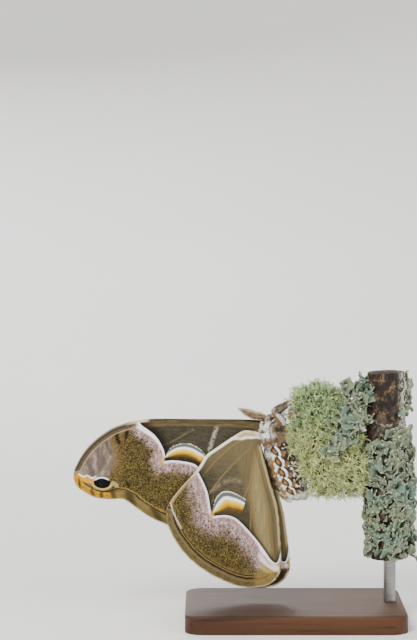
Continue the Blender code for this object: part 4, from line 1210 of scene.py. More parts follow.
def body_finish(name, roughness):
    """White and brown wool in front; behind it rows of ochre spots ringed with dark brown."""
    white = shade(252, 249, 244)
    ochre = shade(182, 136, 86)
    brown = shade(100, 77, 58)
    dark = shade(42, 34, 28)
    finish = Finish(name, white, roughness, 0.1)
    turn = finish.number("around")
    ring = finish.number("ring")
    fine_cloud = finish.cloud(finish.places, 900.0, 2.0)
    wide_cloud = finish.cloud(finish.places, 340.0, 2.0)
    behind = finish.ease(ring, -0.3, -0.1)
    before = finish.less(behind)
    hollows = finish.both(before, finish.ease(turn, 78, 60), finish.ease(wide_cloud, 0.45, 0.37))
    finish.lay(hollows, brown, 0.9)
    ridges = finish.both(before, finish.ease(turn, 66, 40), finish.ease(wide_cloud, 0.53, 0.61))
    finish.lay(ridges, ochre, 0.9)
    waist = finish.both(before, finish.ease(ring, -0.9, -0.6))
    finish.lay(finish.both(waist, finish.ease(fine_cloud, 0.42, 0.5)), shade(158, 120, 76))
    finish.lay(finish.both(waist, finish.ease(fine_cloud, 0.46, 0.4)), shade(84, 62, 44))
    flank = finish.both(before, finish.ease(turn, 72, 86))
    finish.lay(finish.both(flank, finish.ease(wide_cloud, 0.42, 0.5)), shade(176, 142, 92))
    finish.lay(finish.both(flank, finish.ease(wide_cloud, 0.44, 0.38)), brown, 0.9)
    finish.lay(finish.both(before, finish.ease(turn, 88, 100)), shade(164, 142, 112))
    chest = finish.both(before, finish.ease(turn, 86, 100))
    finish.lay(finish.both(chest, finish.ease(wide_cloud, 0.52, 0.62)), shade(82, 63, 48))
    finish.lay(finish.both(chest, finish.ease(fine_cloud, 0.56, 0.66)), shade(190, 168, 148), 0.75)
    head = finish.ease(ring, -1.7, -1.9)
    finish.lay(head, shade(178, 152, 122), 0.9)
    finish.lay(finish.both(head, finish.ease(wide_cloud, 0.46, 0.56)), shade(100, 79, 60), 0.9)
    finish.lay(finish.both(head, finish.ease(fine_cloud, 0.5, 0.6)), white, 0.9)

    flecks = finish.ease(fine_cloud, 0.54, 0.62)
    finish.lay(finish.both(behind, finish.ease(turn, 64, 56)), shade(180, 142, 90))
    finish.lay(finish.both(behind, finish.ease(turn, 62, 50), flecks), white, 0.9)
    # Brown on the back of the abdomen, where the wings close over it: partly its brown hair, partly painted
    # shade beside the wings
    finish.lay(finish.both(behind, finish.ease(turn, 36, 26), finish.ease(ring, 4.3, 3.9)), brown)
    back_gaps = finish.both(behind, finish.ease(turn, 56, 40), finish.ease(wide_cloud, 0.55, 0.62))
    finish.lay(finish.both(back_gaps, finish.ease(ring, 4.3, 3.9)), shade(78, 58, 42), 0.9)
    shoulder = finish.both(behind, finish.ease(ring, 1.2, 0.9), finish.ease(turn, 56, 48))
    finish.lay(finish.both(shoulder, finish.ease(wide_cloud, 0.42, 0.5)), white)
    from_spot = finish.sum("SUBTRACT", finish.sum("FRACT", finish.sum("ADD", ring, 10.0)), 0.5)
    side_turn = finish.sum("SUBTRACT", turn, finish.sum("MULTIPLY", from_spot, 9.0))
    side_turn = finish.sum("ADD", side_turn, finish.sum("MULTIPLY", fine_cloud, 5.0))
    side_turn = finish.sum("ADD", side_turn, finish.sum("MULTIPLY", finish.ease(ring, 1.1, 0.2), 7.0))
    between_spots = finish.ease(finish.sum("ABSOLUTE", from_spot), 0.38, 0.45)

    def spot(middle, half_turn, half_length, shift):
        """How far out a place is in a row's nearest spot, as a share of the way to its edge."""
        along = finish.sum("SUBTRACT", finish.sum("FRACT", finish.sum("ADD", ring, 10.0 - shift)), 0.5)
        down = finish.sum("DIVIDE", along, half_length)
        over = finish.sum("DIVIDE", finish.sum("SUBTRACT", side_turn, middle), half_turn)
        squares = finish.sum("ADD", finish.sum("MULTIPLY", over, over), finish.sum("MULTIPLY", down, down))
        return finish.sum("SQRT", squares)

    left_white = spot(56.0, 10.5, 0.34, 0.36)
    finish.lay(finish.both(behind, finish.ease(left_white, 1.1, 0.9)), white)
    finish.lay(finish.both(behind, finish.ease(side_turn, 86, 90)), dark)
    finish.lay(finish.both(behind, finish.ease(side_turn, 104, 112), flecks), white, 0.9)
    second = spot(102.0, 9.5, 0.3, 0.4)
    finish.lay(finish.both(behind, finish.ease(second, 1.05, 0.85)), shade(168, 126, 72))
    third = spot(129.0, 7.0, 0.22, 0.1)
    finish.lay(finish.both(behind, finish.ease(third, 1.1, 0.8)), shade(150, 122, 90), 0.8)
    finish.lay(finish.both(behind, finish.ease(side_turn, 140, 146)), shade(196, 188, 178))
    swing = finish.sum("MULTIPLY", finish.sum("COSINE", finish.sum("MULTIPLY", from_spot, 2 * math.pi)), 3.5)
    from_zigzag = finish.sum("SUBTRACT", finish.sum("SUBTRACT", side_turn, 87.0), swing)
    off_zigzag = finish.sum("ABSOLUTE", from_zigzag)
    finish.lay(finish.both(behind, finish.ease(off_zigzag, 8.0, 7.2)), dark)
    finish.lay(finish.both(behind, finish.between(side_turn, 64, 82, 4.0), between_spots), dark)
    finish.lay(finish.both(behind, finish.ease(off_zigzag, 5.6, 4.6)), white)
    first = spot(72.0, 9.2, 0.33, 0.0)
    finish.lay(finish.both(behind, finish.ease(first, 1.4, 1.3)), dark)
    finish.lay(finish.both(behind, finish.ease(first, 0.84, 0.72)), shade(164, 122, 62))
    finish.lay(finish.both(behind, finish.ease(first, 0.5, 0.2)), shade(190, 150, 92), 0.6)
    tail = finish.ease(ring, 4.85, 5.1)
    finish.lay(tail, white)
    finish.lay(finish.both(tail, finish.ease(fine_cloud, 0.57, 0.63)), shade(110, 96, 80), 0.8)
    # Painted shade: each lock is darker towards its root, and the bare skin under the coat takes the same
    # brown, as shade among the hairs
    finish.lay(finish.ease(finish.number("tip"), 0.3, 0.0), brown, 0.12)
    return finish.done(finish.cloud(finish.places, 3200.0, 2.0), 0.00008)


body_skin.data.materials.append(body_finish("body_skin_scales", 0.85))
carry(body_skin, {"around": around, "ring": ring})
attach(body_skin, "root")
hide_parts("head", "thorax", "abdomen")

wool_finish = body_finish("body_wool", 0.9)
LOCK_FORMS = ((0.07, 0.1), (0.09, 0.16), (0.06, 0.05))
wool_locks = lock_set("wool_locks", [hair_shape(wide, 0.05, bow) for wide, bow in LOCK_FORMS])
scale_locks = lock_set("scale_locks", [hair_shape(wide * 1.1, 0.05, bow, 2) for wide, bow in LOCK_FORMS])
body_draw = np.random.default_rng(8)
eye_room = np.ones(len(skin_points))
for side in (-1, 1):
    eye_off = np.linalg.norm(skin_points - np.array(EYE_PLACE) * (1, side, 1), axis=1)
    eye_room *= eye_off > EYE_RADIUS * 0.6
tailward = np.array(ABDOMEN_WAY)
FUR_COATS = (
    ("fur_front", 10500, ring < -0.1, 1.25, 0.5, wool_locks),
    ("fur_abdomen", 18500, ring >= -0.1, 0.55, 0.22, scale_locks),
)
for coat_name, count, where, length, lift, coat_locks in FUR_COATS:
    corners, shares = scatter(body_skin, count, body_draw, where * eye_room)
    roots = at_roots(skin_points, corners, shares)
    face = unit(at_roots(skin_normals, corners, shares))
    root_around = at_roots(around, corners, shares)
    root_ring = at_roots(ring, corners, shares)
    flat = tailward - face * (face @ tailward)[:, None]
    on_back = np.clip((50 - root_around) / 15, 0, 1)
    on_head = np.clip((-1.7 - root_ring) / 0.3, 0, 1)
    at_tail = np.clip((root_ring - 4.7) / 0.5, 0, 1)
    at_waist = (root_ring > -0.9) & (root_ring < -0.1)
    risen = lift + 0.4 * on_back + 0.3 * at_tail
    splayed = np.outer(at_tail, (0.4, 0.0, 0.0))
    lie = unit(unit(flat) + face * risen[:, None] + splayed + body_draw.normal(0, 0.22, (count, 3)))
    reach = length * (1 - 0.5 * on_head) * (1 + 0.8 * at_tail) * (1 + 0.7 * on_back * (root_ring > 0))
    reach = reach * np.where(at_waist, 0.6, 1)
    turned = root_around * np.sign(roots[:, 1])
    spots = np.stack([0.5 + turned / 370, 0.05 + (root_ring + 3) / 10, np.zeros(count)], 1)
    piece = grow(
        coat_name, roots - face * 0.08, lie, face, reach, spots, {"around": root_around, "ring": root_ring},
        coat_locks, 1.0, wool_finish,
    )
    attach(piece, "root")
clear_locks(scale_locks)

# Wool over the wing roots: loose white and ochre locks which lie from the body's back out
# over the base of each wing and hide where it is hung.
WING_ROOT_LOCKS = 1200
for side_name, side in (("right", -1), ("left", 1)):
    z = body_draw.uniform(58.2, 66.2, WING_ROOT_LOCKS)
    edge_x = np.interp(z, (58.2, 60.5, 64.0, 66.2), (-9.9, -10.3, -10.5, -10.2))
    x = edge_x + body_draw.triangular(-0.7, 0.8, 2.2, WING_ROOT_LOCKS)
    depth = np.maximum(lean(x, z, 0), lean(x, z, 1)) + 0.25 + np.maximum(x - edge_x, 0) * 0.55
    roots = np.stack([x, side * depth, z], 1)
    face = np.tile(unit(np.array((-0.3, side * 1.0, 0.0))), (WING_ROOT_LOCKS, 1))
    down = np.interp(z, (57.0, 61.0, 66.0), (-1.1, -0.45, 0.1))
    lie = np.stack([np.full(WING_ROOT_LOCKS, -1.0), np.full(WING_ROOT_LOCKS, side * 0.12), down], 1)
    lie = unit(lie + body_draw.normal(0, 0.2, lie.shape))
    reach_share = np.interp(z, (58.2, 60.8, 62, 66.2), (0.5, 0.65, 1, 0.8))
    reach = body_draw.uniform(0.9, 1.5, WING_ROOT_LOCKS) * reach_share
    clump = np.array([noise.noise(Vector((place[0] * 0.5, 4.0, place[2] * 0.8))) for place in roots])
    spots = np.stack([0.5 + (x + 10) * side * 0.12, (z - 56) / 11.2, x * 0], 1)
    root_ring = np.interp(z + clump, (58.2, 60.6, 61.4), (-0.5, -0.6, -1.0))
    piece = grow(
        "wing_root_wool_" + side_name, roots, lie, face, reach, spots,
        {"around": 58 + clump * 60, "ring": root_ring}, wool_locks, 1.0, wool_finish,
    )
    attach(piece, "root")

# Eyes: dark glossy domes with thousands of facets, sunk in the sides of the head.
eye_finish = Finish("eye_facets", shade(30, 22, 18), 0.36)
eye_facets = eye_finish.grains(eye_finish.places, 9000.0)
eye_finish.lay(eye_finish.ease(eye_facets, 0.2, 0.9), shade(58, 42, 30))
eye_dark = eye_finish.done(eye_facets, 0.00003)
for side_name in ("right", "left"):
    eye_slots = frame["nodes"]["eye_" + side_name].data.materials
    eye_slots.clear()
    eye_slots.append(eye_dark)
# Short hairs round each eye lean over its rim, so that only its middle is bare
LASHES = 170
for side_name, side in (("right", -1), ("left", 1)):
    turn = body_draw.uniform(0, 2 * math.pi, LASHES)
    out = np.stack([np.cos(turn), turn * 0, np.sin(turn)], 1)
    outward = np.array((0.0, side, 0.0))
    rim = np.array(EYE_PLACE) * (1, side, 1) + out * body_draw.uniform(0.92, 1.15, (LASHES, 1))
    lie = unit(outward * 0.8 - out * 0.7 + body_draw.normal(0, 0.2, out.shape))
    spots = np.stack([0.5 + side * 0.2 + out[:, 0] * 0.015, 0.15 + out[:, 2] * 0.015, turn * 0], 1)
    lashes = grow(
        "eye_lashes_" + side_name, rim + outward * 0.4, lie, unit(outward * 0.6 + out),
        body_draw.uniform(0.55, 0.85, LASHES), spots, {"around": turn * 0 + 75, "ring": turn * 0 - 2},
        wool_locks, 1.3, wool_finish,
    )
    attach(lashes, "root")

# Feelers: a bent stem with two double rows of fine teeth along its edges, each tooth
# feathered, so that the whole looks like a narrow brown leaf with a pale edge.
ANTENNA_PATH = ((-9.4, 1.0, 67.5), (-11.9, 1.4, 67.7), (-15.7, 2.1, 69.0), (-18.8, 2.6, 70.2))
ANTENNA_SOCKET = (-8.3, 1.2, 67.3)
COMB_PAIRS = 60
COMB_LENGTH = 1.95
antenna_finish = Finish("antenna_combs", shade(156, 136, 104), 0.85)
comb_cloud = antenna_finish.cloud(antenna_finish.places, 700.0, 2.0)
antenna_finish.lay(antenna_finish.ease(comb_cloud, 0.42, 0.56), shade(108, 86, 62), 0.85)
antenna_finish.lay(antenna_finish.ease(antenna_finish.number("tip"), 0.55, 0.95), shade(212, 198, 168), 0.85)
antenna_brown = antenna_finish.done()
comb_teeth = lock_set("comb_teeth", [hair_shape(0.06, 0.06, bow, 4) for bow in (0.08, 0.14)])
for side_name, side in (("right", -1), ("left", 1)):
    stem = smooth_line(np.array(ANTENNA_PATH) * (1, side, 1), 0.4)
    t = np.linspace(0, 1, len(stem))
    along = unit(stem[-1] - stem[0])
    flat = unit(np.cross(along, (0, 1, 0)))
    roots, ways, reaches = [], [], []
    for pair in range(COMB_PAIRS):
        share = 0.97 * pair / (COMB_PAIRS - 1)
        start = np.array([np.interp(share, t, stem[:, axis]) for axis in range(3)])
        breadth = np.interp(share, (0, 0.15, 0.4, 0.65, 0.88, 1), (0.6, 0.95, 1, 0.75, 0.35, 0.1))
        reach = COMB_LENGTH * float(breadth)
        for edge in (1, -1):
            for lift in (0.42, -0.1):
                ways.append(flat * edge + along * 0.75 + np.array((0, side * lift, 0)))
                roots.append(start)
                reaches.append(reach * (1.0 if lift > 0 else 0.85))
    roots, ways = np.array(roots), unit(np.array(ways))
    spots = np.stack([np.linspace(0.02, 0.98, len(roots)), roots[:, 2] * 0 + 0.5, roots[:, 2] * 0], 1)
    comb = grow(
        "antenna_comb_" + side_name, roots, ways, np.tile(flat, (len(roots), 1)), np.array(reaches), spots,
        {}, comb_teeth, 1.0, antenna_brown, 0.06,
    )
    stem = np.vstack([np.linspace(np.array(ANTENNA_SOCKET) * (1, side, 1), stem[0], 6)[:-1], stem])
    stem_places, stem_faces = tube_shape(stem, np.linspace(0.34, 0.1, len(stem)), 10)
    shaft = mesh_object("antenna_stem_" + side_name, stem_places, stem_faces, antenna_brown)
    for piece in (comb, shaft):
        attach(piece, "root")
    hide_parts("antenna_" + side_name)
clear_locks(comb_teeth)

# Legs: thigh, shin and foot under shaggy scales, white on the front of the thigh and ochre
# behind, with a pair of hooked claws on the last joint of the foot.
LEGS = {
    "foreleg": ((-3.5, 2.4, 65.2), (-6.6, 4.6, 69.1), (-2.3, 4.6, 71.7), (0.7, 3.6, 73.5)),
    "midleg": ((0.4, 3.4, 63.2), (-0.9, 5.9, 69.4), (3.3, 4.6, 67.6), (5.6, 3.4, 66.2)),
    "hindleg": ((1.2, 3.6, 60.0), (2.8, 6.2, 64.2), (4.2, 5.9, 59.2), (5.8, 4.8, 56.0)),
}
LEG_RADII = (0.95, 0.75, 0.36, 0.2)
LEG_LOCKS = 1500
FOOT_JOINTS = 5
leg_finish = Finish("leg_scales", shade(152, 130, 106), 0.9, 0.1)
limb = leg_finish.number("limb")
front = leg_finish.number("front")
leg_cloud = leg_finish.cloud(leg_finish.places, 900.0, 2.0)
thigh = leg_finish.ease(limb, 1.04, 0.94)
leg_finish.lay(leg_finish.ease(leg_cloud, 0.45, 0.6), shade(86, 68, 54), 0.85)
leg_finish.lay(leg_finish.both(thigh, leg_finish.ease(front, -0.15, -0.35)), shade(176, 136, 84), 0.95)
thigh_seam = leg_finish.both(thigh, leg_finish.between(front, -0.42, -0.26, 0.08))
leg_finish.lay(thigh_seam, shade(112, 84, 58), 0.6)
leg_finish.lay(leg_finish.both(thigh, leg_finish.ease(front, -0.3, -0.1)), shade(255, 253, 250))
# Painted shade: a brown rim along the front edge of the thigh, beside its white
leg_finish.lay(leg_finish.both(thigh, leg_finish.ease(front, 0.8, 0.95)), shade(128, 100, 74), 0.85)
shin_below = leg_finish.both(leg_finish.between(limb, 1.08, 1.9, 0.05), leg_finish.ease(front, 0.0, 0.3))
leg_finish.lay(leg_finish.both(shin_below, leg_finish.ease(leg_cloud, 0.62, 0.56)), shade(60, 47, 38))
leg_finish.lay(leg_finish.ease(limb, 1.96, 2.08), shade(156, 126, 92), 0.85)
pale_joints = leg_finish.both(leg_finish.between(limb, 1.88, 2.02, 0.04), leg_finish.ease(front, -0.2, 0.2))
leg_finish.lay(pale_joints, shade(240, 234, 224))
# Painted light along each hair: a painted highlight on its tip and painted shade at its root, among the
# other hairs
leg_finish.lay(leg_finish.ease(leg_finish.number("tip"), 0.6, 1.0), shade(206, 192, 170), 0.45)
leg_finish.lay(leg_finish.ease(leg_finish.number("tip"), 0.35, 0.0), shade(84, 68, 54), 0.3)
leg_scales = leg_finish.done(leg_cloud, 0.0001)
claw_finish = Finish("claws", shade(52, 36, 24), 0.3)
claw_cloud = claw_finish.cloud(claw_finish.places, 1500.0)
claw_finish.lay(claw_finish.ease(claw_cloud, 0.4, 0.7), shade(84, 58, 38))
claw_horn = claw_finish.done(claw_cloud, 0.00003)
leg_draw = np.random.default_rng(14)
for leg_name, joints in LEGS.items():
    for side_name, side in (("right", -1), ("left", 1)):
        places = np.array(joints) * (1, side, 1)
        shapes = []
        for i in range(3):
            length_path = np.linspace(places[i], places[i + 1], 9)
            swell = 1 + 0.18 * np.sin(np.linspace(0, math.pi, 9))
            if i == 2:
                swell = 1 + 0.22 * np.cos(np.linspace(0, 2 * math.pi * FOOT_JOINTS, 9))
            radii = np.linspace(LEG_RADII[i], LEG_RADII[i + 1], 9) * swell
            shapes.append(tube_shape(length_path, radii, 10))
        skin = one_skin(leg_name + "_skin_" + side_name, shapes, 0.15, 2)
        leg_points, leg_normals = skin_places(skin)
        limb_share = np.zeros(len(leg_points))
        best = np.full(len(leg_points), np.inf)
        ways = np.zeros((len(leg_points), 3))
        axis_off = np.zeros((len(leg_points), 3))
        for i in range(3):
            span = places[i + 1] - places[i]
            share = np.clip((leg_points - places[i]) @ span / (span @ span), 0, 1)
            off = leg_points - places[i] - share[:, None] * span
            far = np.linalg.norm(off, axis=1)
            nearer = far < best
            best[nearer] = far[nearer]
            limb_share[nearer] = (i + share)[nearer]
            ways[nearer] = unit(span)
            axis_off[nearer] = off[nearer]
        below = (limb_share > 1)[:, None]
        front_side = (unit(axis_off) * np.where(below, (0.35, 0.0, -0.94), (0.8, 0.0, 0.6))).sum(1)
        leg_fields = {"limb": limb_share, "front": front_side}
        carry(skin, leg_fields)
        skin.data.materials.append(leg_scales)
        corners, shares = scatter(skin, LEG_LOCKS, leg_draw, np.ones(len(leg_points)))
        roots = at_roots(leg_points, corners, shares)
        face = unit(at_roots(leg_normals, corners, shares))
        stray = leg_draw.normal(0, 0.18, (LEG_LOCKS, 3))
        root_limb = at_roots(limb_share, corners, shares)
        lift = np.interp(root_limb, (0.8, 1.1), (0.5, 0.42))[:, None]
        lie = unit(at_roots(ways, corners, shares) + face * lift + stray)
        reach = np.interp(root_limb, (0, 0.9, 1.2, 1.8, 2.0, 3.0), (1.05, 0.95, 0.9, 0.75, 0.4, 0.35))
        root_front = at_roots(front_side, corners, shares)
        spots = np.stack([0.5 + root_front * 0.45, 0.03 + root_limb * 0.31, np.zeros(LEG_LOCKS)], 1)
        coat = grow(
            leg_name + "_fur_" + side_name, roots - face * 0.05, lie, face, reach, spots,
            {"limb": root_limb, "front": root_front}, wool_locks, 1.0, leg_scales,
        )
        claw_shapes = []
        toe, toe_way = places[3], unit(places[3] - places[2])
        for hook in (-1, 1):
            t = np.linspace(0, 1, 6)[:, None]
            spread = np.array((0, hook * 0.3, 0)) * t
            drop = np.array((0.25, 0, -0.45)) * t**2
            claw_path = toe - toe_way * 0.1 + toe_way * 0.55 * t + spread + drop
            claw_shapes.append(tube_shape(claw_path, np.linspace(0.1, 0.015, 6), 6))
        both_places = np.vstack([shape[0] for shape in claw_shapes])
        offset = len(claw_shapes[0][0])
        both_faces = claw_shapes[0][1] + [tuple(i + offset for i in face) for face in claw_shapes[1][1]]
        claws = mesh_object(leg_name + "_claws_" + side_name, both_places, both_faces, claw_horn)
        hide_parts(leg_name + "_" + side_name)
        for piece in (skin, coat, claws):
            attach(piece, "root")
clear_locks(wool_locks)

# Branch: a cut length of dark, cracked bark, crusted in places with pale lichen.
BRANCH_FOOT = np.array((31.5, 0.6, 20.7))
BRANCH_TOP = np.array((29.8, 0.0, 82.3))
BRANCH_RADIUS = 6.8
BRANCH_BUMP = 0.7
branch_way = unit(BRANCH_TOP - BRANCH_FOOT)
branch_side = unit(np.cross(branch_way, (0, 1, 0)))
branch_front = np.cross(branch_way, branch_side)
BARK_ROWS = 190
BARK_SIDES = 150
bark_places = []
bark_faces = []
for i in range(BARK_ROWS):
    middle = BRANCH_FOOT + (BRANCH_TOP - BRANCH_FOOT) * i / (BARK_ROWS - 1)
    for k in range(BARK_SIDES):
        turn = 2 * math.pi * k / BARK_SIDES
        out = branch_side * math.cos(turn) + branch_front * math.sin(turn)
        place = middle + out * BRANCH_RADIUS
        swell = BRANCH_BUMP * noise.noise(Vector(place) / 9.0)
        long_place = Vector((place[0] / 2.2, place[1] / 2.2, place[2] / 4.5))
        crack = noise.ridged_multi_fractal(long_place, 1.0, 2.0, 4, 1.0, 2.0)
        grit = 0.14 * noise.noise(Vector(place) * 1.7)
        bark_places.append(place + out * (swell - 0.5 + 0.27 * (crack - 1.0) + grit))
        if i:
            below = (i - 1) * BARK_SIDES + k
            beside = (i - 1) * BARK_SIDES + (k + 1) % BARK_SIDES
            bark_faces.append((below, beside, beside + BARK_SIDES, below + BARK_SIDES))
bark_faces.append(tuple(range(BARK_SIDES))[::-1])
bark_faces.append(tuple(range((BARK_ROWS - 1) * BARK_SIDES, BARK_ROWS * BARK_SIDES)))
bark_finish = Finish("bark", shade(40, 33, 29), 0.92)
bark_long = bark_finish.cloud(bark_finish.stretch(bark_finish.places, (1.0, 1.0, 0.55)), 420.0, 5.0, 0.68)
bark_wide = bark_finish.cloud(bark_finish.places, 110.0, 3.0)
bark_rust = bark_finish.cloud(bark_finish.places, 330.0, 5.0, 0.7)
bark_crust = bark_finish.cloud(bark_finish.places, 900.0, 3.0)
bark_finish.lay(bark_finish.ease(bark_long, 0.44, 0.64), shade(88, 75, 65))
bark_finish.lay(bark_finish.ease(bark_rust, 0.5, 0.64), shade(116, 94, 70), 0.75)
rust_patches = bark_finish.ease(bark_rust, 0.53, 0.62)
rust_grains = bark_finish.both(rust_patches, bark_finish.ease(bark_crust, 0.46, 0.6))
bark_finish.lay(rust_grains, shade(150, 126, 94), 0.6)
crust = bark_finish.both(bark_finish.ease(bark_wide, 0.58, 0.64), bark_finish.ease(bark_crust, 0.46, 0.56))
bark_finish.lay(crust, shade(156, 162, 140), 0.8)
bark_right = bark_finish.ease(bark_finish.parts(bark_finish.places)[0], 0.0328, 0.0362)
bark_white = bark_finish.both(bark_right, bark_finish.ease(bark_crust, 0.44, 0.54))
bark_finish.lay(bark_white, shade(206, 204, 190), 0.9)
bark_brown = bark_finish.done(bark_finish.sum("ADD", bark_long, bark_crust), 0.0005)
bark = mesh_object("bark", bark_places, bark_faces, bark_brown)
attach(bark, "root")
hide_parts("perch_branch")

# Beard lichen: a tuft of many thin, curling, forked strands, which grows from one side of the branch
# over the moth's legs, greener above and yellower below, round a dark core of painted shade.
# Each cushion of the tuft: how many strands, its middle and its half size
CUSHIONS = (
    (760, (7.6, -0.6, 70.6), (10.8, 9.4, 9.6)),
    (700, (5.6, -3.2, 60.5), (10.2, 8.4, 8.6)),
    (840, (16.4, -0.8, 50.9), (11.6, 10.0, 11.4)),
    (560, (9.4, -1.8, 49.6), (8.8, 8.6, 9.8)),
    (420, (16.4, 0.0, 64.5), (7.0, 8.0, 11.0)),
)


def twig_shape(draw):
    """A thin strand that curls and forks, each fork curling its own way."""
    places, faces = [], []

    def shoot(way, start, length, thick, steps, forks):
        axis = np.array([draw.gauss(0, 1) for k in range(3)])
        axis = unit(axis - way * (axis @ way))
        bend = np.array(Matrix.Rotation(draw.uniform(0.2, 0.55), 3, Vector(axis)))
        path = [start]
        for i in range(steps):
            way = unit(bend @ way + np.array([draw.uniform(-0.2, 0.2) for k in range(3)]))
            path.append(path[-1] + way * length / steps)
        shape_places, shape_faces = tube_shape(path, np.linspace(thick, thick * 0.65, steps + 1), 3)
        faces.extend(tuple(i + len(places) for i in face) for face in shape_faces)
        places.extend(shape_places)
        for i in range(forks):
            joint = 1 + i % (steps - 1)
            side_way = unit(path[joint + 1] - path[joint])
            side_way = unit(side_way + np.array([draw.uniform(-0.9, 0.9) for k in range(3)]))
            side_length = length * draw.uniform(0.38, 0.6)
            shoot(side_way, path[joint], side_length, thick * 0.8, steps - 2, forks // 3)

    shoot(np.array((0.0, 0.0, 1.0)), np.zeros(3), 1.0, 0.033, 6, 4)
    return places, faces


def out_of_tuft(places):
    """How far out places lie in the nearest cushion of the tuft: 1 is on its edge."""
    return np.min([np.linalg.norm((places - middle) / half, axis=1) for _, middle, half in CUSHIONS], 0)


def clear_reach(roots, ways, wanted):
    """How far each strand may grow before it leaves the tuft or meets the moth's body."""
    stations = np.array(BODY)[::-1]
    allowed = wanted.copy()
    for share in np.linspace(1.0, 0.1, 19):
        tips = roots + ways * (wanted * share)[:, None]
        z = tips[:, 2]
        middle = np.interp(z, stations[:, 1], stations[:, 0])
        depth = np.interp(z, stations[:, 1], stations[:, 2], 0, 0) + 1.1
        width = np.interp(z, stations[:, 1], stations[:, 3], 0, 0) + 1.1
        barred = ((tips[:, 0] - middle) / depth) ** 2 + (tips[:, 1] / width) ** 2 < 1
        barred |= out_of_tuft(tips) > 1.03
        allowed = np.where(barred, wanted * (share - 0.06), allowed)
    return np.maximum(allowed, 0.0)


lichen_finish = Finish("beard_lichen", shade(196, 206, 138), 0.88)
height = lichen_finish.parts(lichen_finish.places)[2]
lichen_cloud = lichen_finish.cloud(lichen_finish.places, 160.0, 2.0)
lichen_fine = lichen_finish.cloud(lichen_finish.places, 900.0, 2.0)
wandering = lichen_finish.sum("ADD", height, lichen_finish.sum("MULTIPLY", lichen_cloud, 0.014))
lichen_finish.lay(lichen_finish.ease(wandering, 0.068, 0.076), shade(152, 184, 128))
lichen_finish.lay(lichen_finish.ease(lichen_cloud, 0.42, 0.3), shade(136, 152, 92), 0.7)
# Painted highlights: pale flecks over the strands
lichen_finish.lay(lichen_finish.ease(lichen_fine, 0.48, 0.64), shade(220, 224, 172), 0.8)
# Painted light along each strand: a painted highlight on its tip, and painted shade at its root deep in the
# tuft
lichen_finish.lay(lichen_finish.ease(lichen_finish.number("tip"), 0.5, 1.0), shade(230, 232, 190), 0.45)
lichen_finish.lay(lichen_finish.ease(lichen_finish.number("tip"), 0.4, 0.05), shade(56, 66, 38), 0.85)
beard_green = lichen_finish.done(lichen_fine, 0.0001)
# The dark core, whose colour is painted shade deep inside the tuft
heart_finish = Finish("lichen_heart", shade(44, 52, 32), 0.95)
heart_cloud = heart_finish.cloud(heart_finish.places, 900.0, 3.0)
heart_finish.lay(heart_finish.ease(heart_cloud, 0.5, 0.65), shade(78, 90, 54))
heart_painted_shade = heart_finish.done(heart_cloud, 0.0004)

heart_shapes = []
turns = np.linspace(0, math.pi, 14)
for _, middle, half in CUSHIONS:
    ball_path = np.array(middle) + (0.6, 0, 0) + np.outer(-np.cos(turns) * 0.6, (0, 0, half[2]))
    ball_radii = np.maximum(np.sin(turns), 0.05) * 0.58 * min(half[0], half[1])
    heart_shapes.append(tube_shape(ball_path, ball_radii, 24))
heart = one_skin("lichen_heart", heart_shapes, 0.7, 4)
heart.data.materials.append(heart_painted_shade)
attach(heart, "root")
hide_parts("perch_lichen")

twig_draw = random.Random(9)
TWIG_FORMS = 12
twigs = lock_set("lichen_twigs", [twig_shape(twig_draw) for i in range(TWIG_FORMS)])
tuft_draw = np.random.default_rng(4)
for number, (count, middle, half) in enumerate(CUSHIONS):
    aims = unit(tuft_draw.normal(0, 1, (count, 3)))
    twig_roots = np.array(middle) + aims * half * tuft_draw.uniform(0.35, 0.85, (count, 1))
    twig_ways = unit(aims + tuft_draw.normal(0, 0.75, aims.shape))
    twig_reach = clear_reach(twig_roots, twig_ways, tuft_draw.uniform(4.4, 7.6, count))
    kept = (twig_reach > 1.6) & (twig_roots[:, 0] < BRANCH_TOP[0] - BRANCH_RADIUS)
    around_core = 0.5 + np.arctan2(aims[kept, 1], aims[kept, 0]) / 6.4
    spots = np.stack([around_core, 0.5 + aims[kept, 2] * 0.45, around_core * 0], 1)
    piece = grow(
        f"beard_lichen_{number}", twig_roots[kept], twig_ways[kept], aims[kept], twig_reach[kept], spots, {},
        twigs, 1.0, beard_green, 0.12,
    )
    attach(piece, "root")
clear_locks(twigs)

# Leafy lichen: pale grey-green lobes with ruffled edges, which overlap in rosettes on the
# bark, crowded low down and on the edges and sparse on the bare face above. A few stand in
# the front of the tuft and on its top beside the branch.
leaf_draw = random.Random(5)


def leaf_shape(draw, rows=7, columns=6):
    """A thin lobe, broad and ruffled at its far end, which lifts away from the bark."""
    swing = draw.uniform(0, 6)
    top, under = [], []
    for i in range(rows):
        t = i / (rows - 1)
        wide = 0.2 + 0.4 * math.sin(min(1.0, t * 1.05) * math.pi * 0.7)
        for k in range(columns):
            s = 2 * k / (columns - 1) - 1
            notch = 1 - 0.07 * math.cos(s * 5 + swing) * t - 0.34 * abs(s) ** 2.4 * t
            x = wide * s * (1 + 0.08 * math.sin(5 * t + swing))
            lift = 0.1 + 0.44 * t - 0.2 * t**3 + 0.09 * math.sin(5 * s + swing) * t
            lift += 0.05 * math.sin(6 * t + swing) + 0.12 * s * s * t
            place = np.array((x, lift, t * notch))
            top.append(place)
            under.append(place - np.array((0, 0.08, 0)))
    faces = []
    count = rows * columns
    for i in range(rows - 1):
        for k in range(columns - 1):
            a, b = i * columns + k, i * columns + k + 1
            c, d = b + columns, a + columns
            faces.append((a, b, c, d))
            faces.append((d + count, c + count, b + count, a + count))
    edge = [(k, k + 1) for k in range(columns - 1)]
    edge += [((i + 1) * columns - 1, (i + 2) * columns - 1) for i in range(rows - 1)]
    edge += [(count - 1 - k, count - 2 - k) for k in range(columns - 1)]
    edge += [((rows - 1 - i) * columns, (rows - 2 - i) * columns) for i in range(rows - 1)]
    faces += [(b, a, a + count, b + count) for a, b in edge]
    return top + under, faces


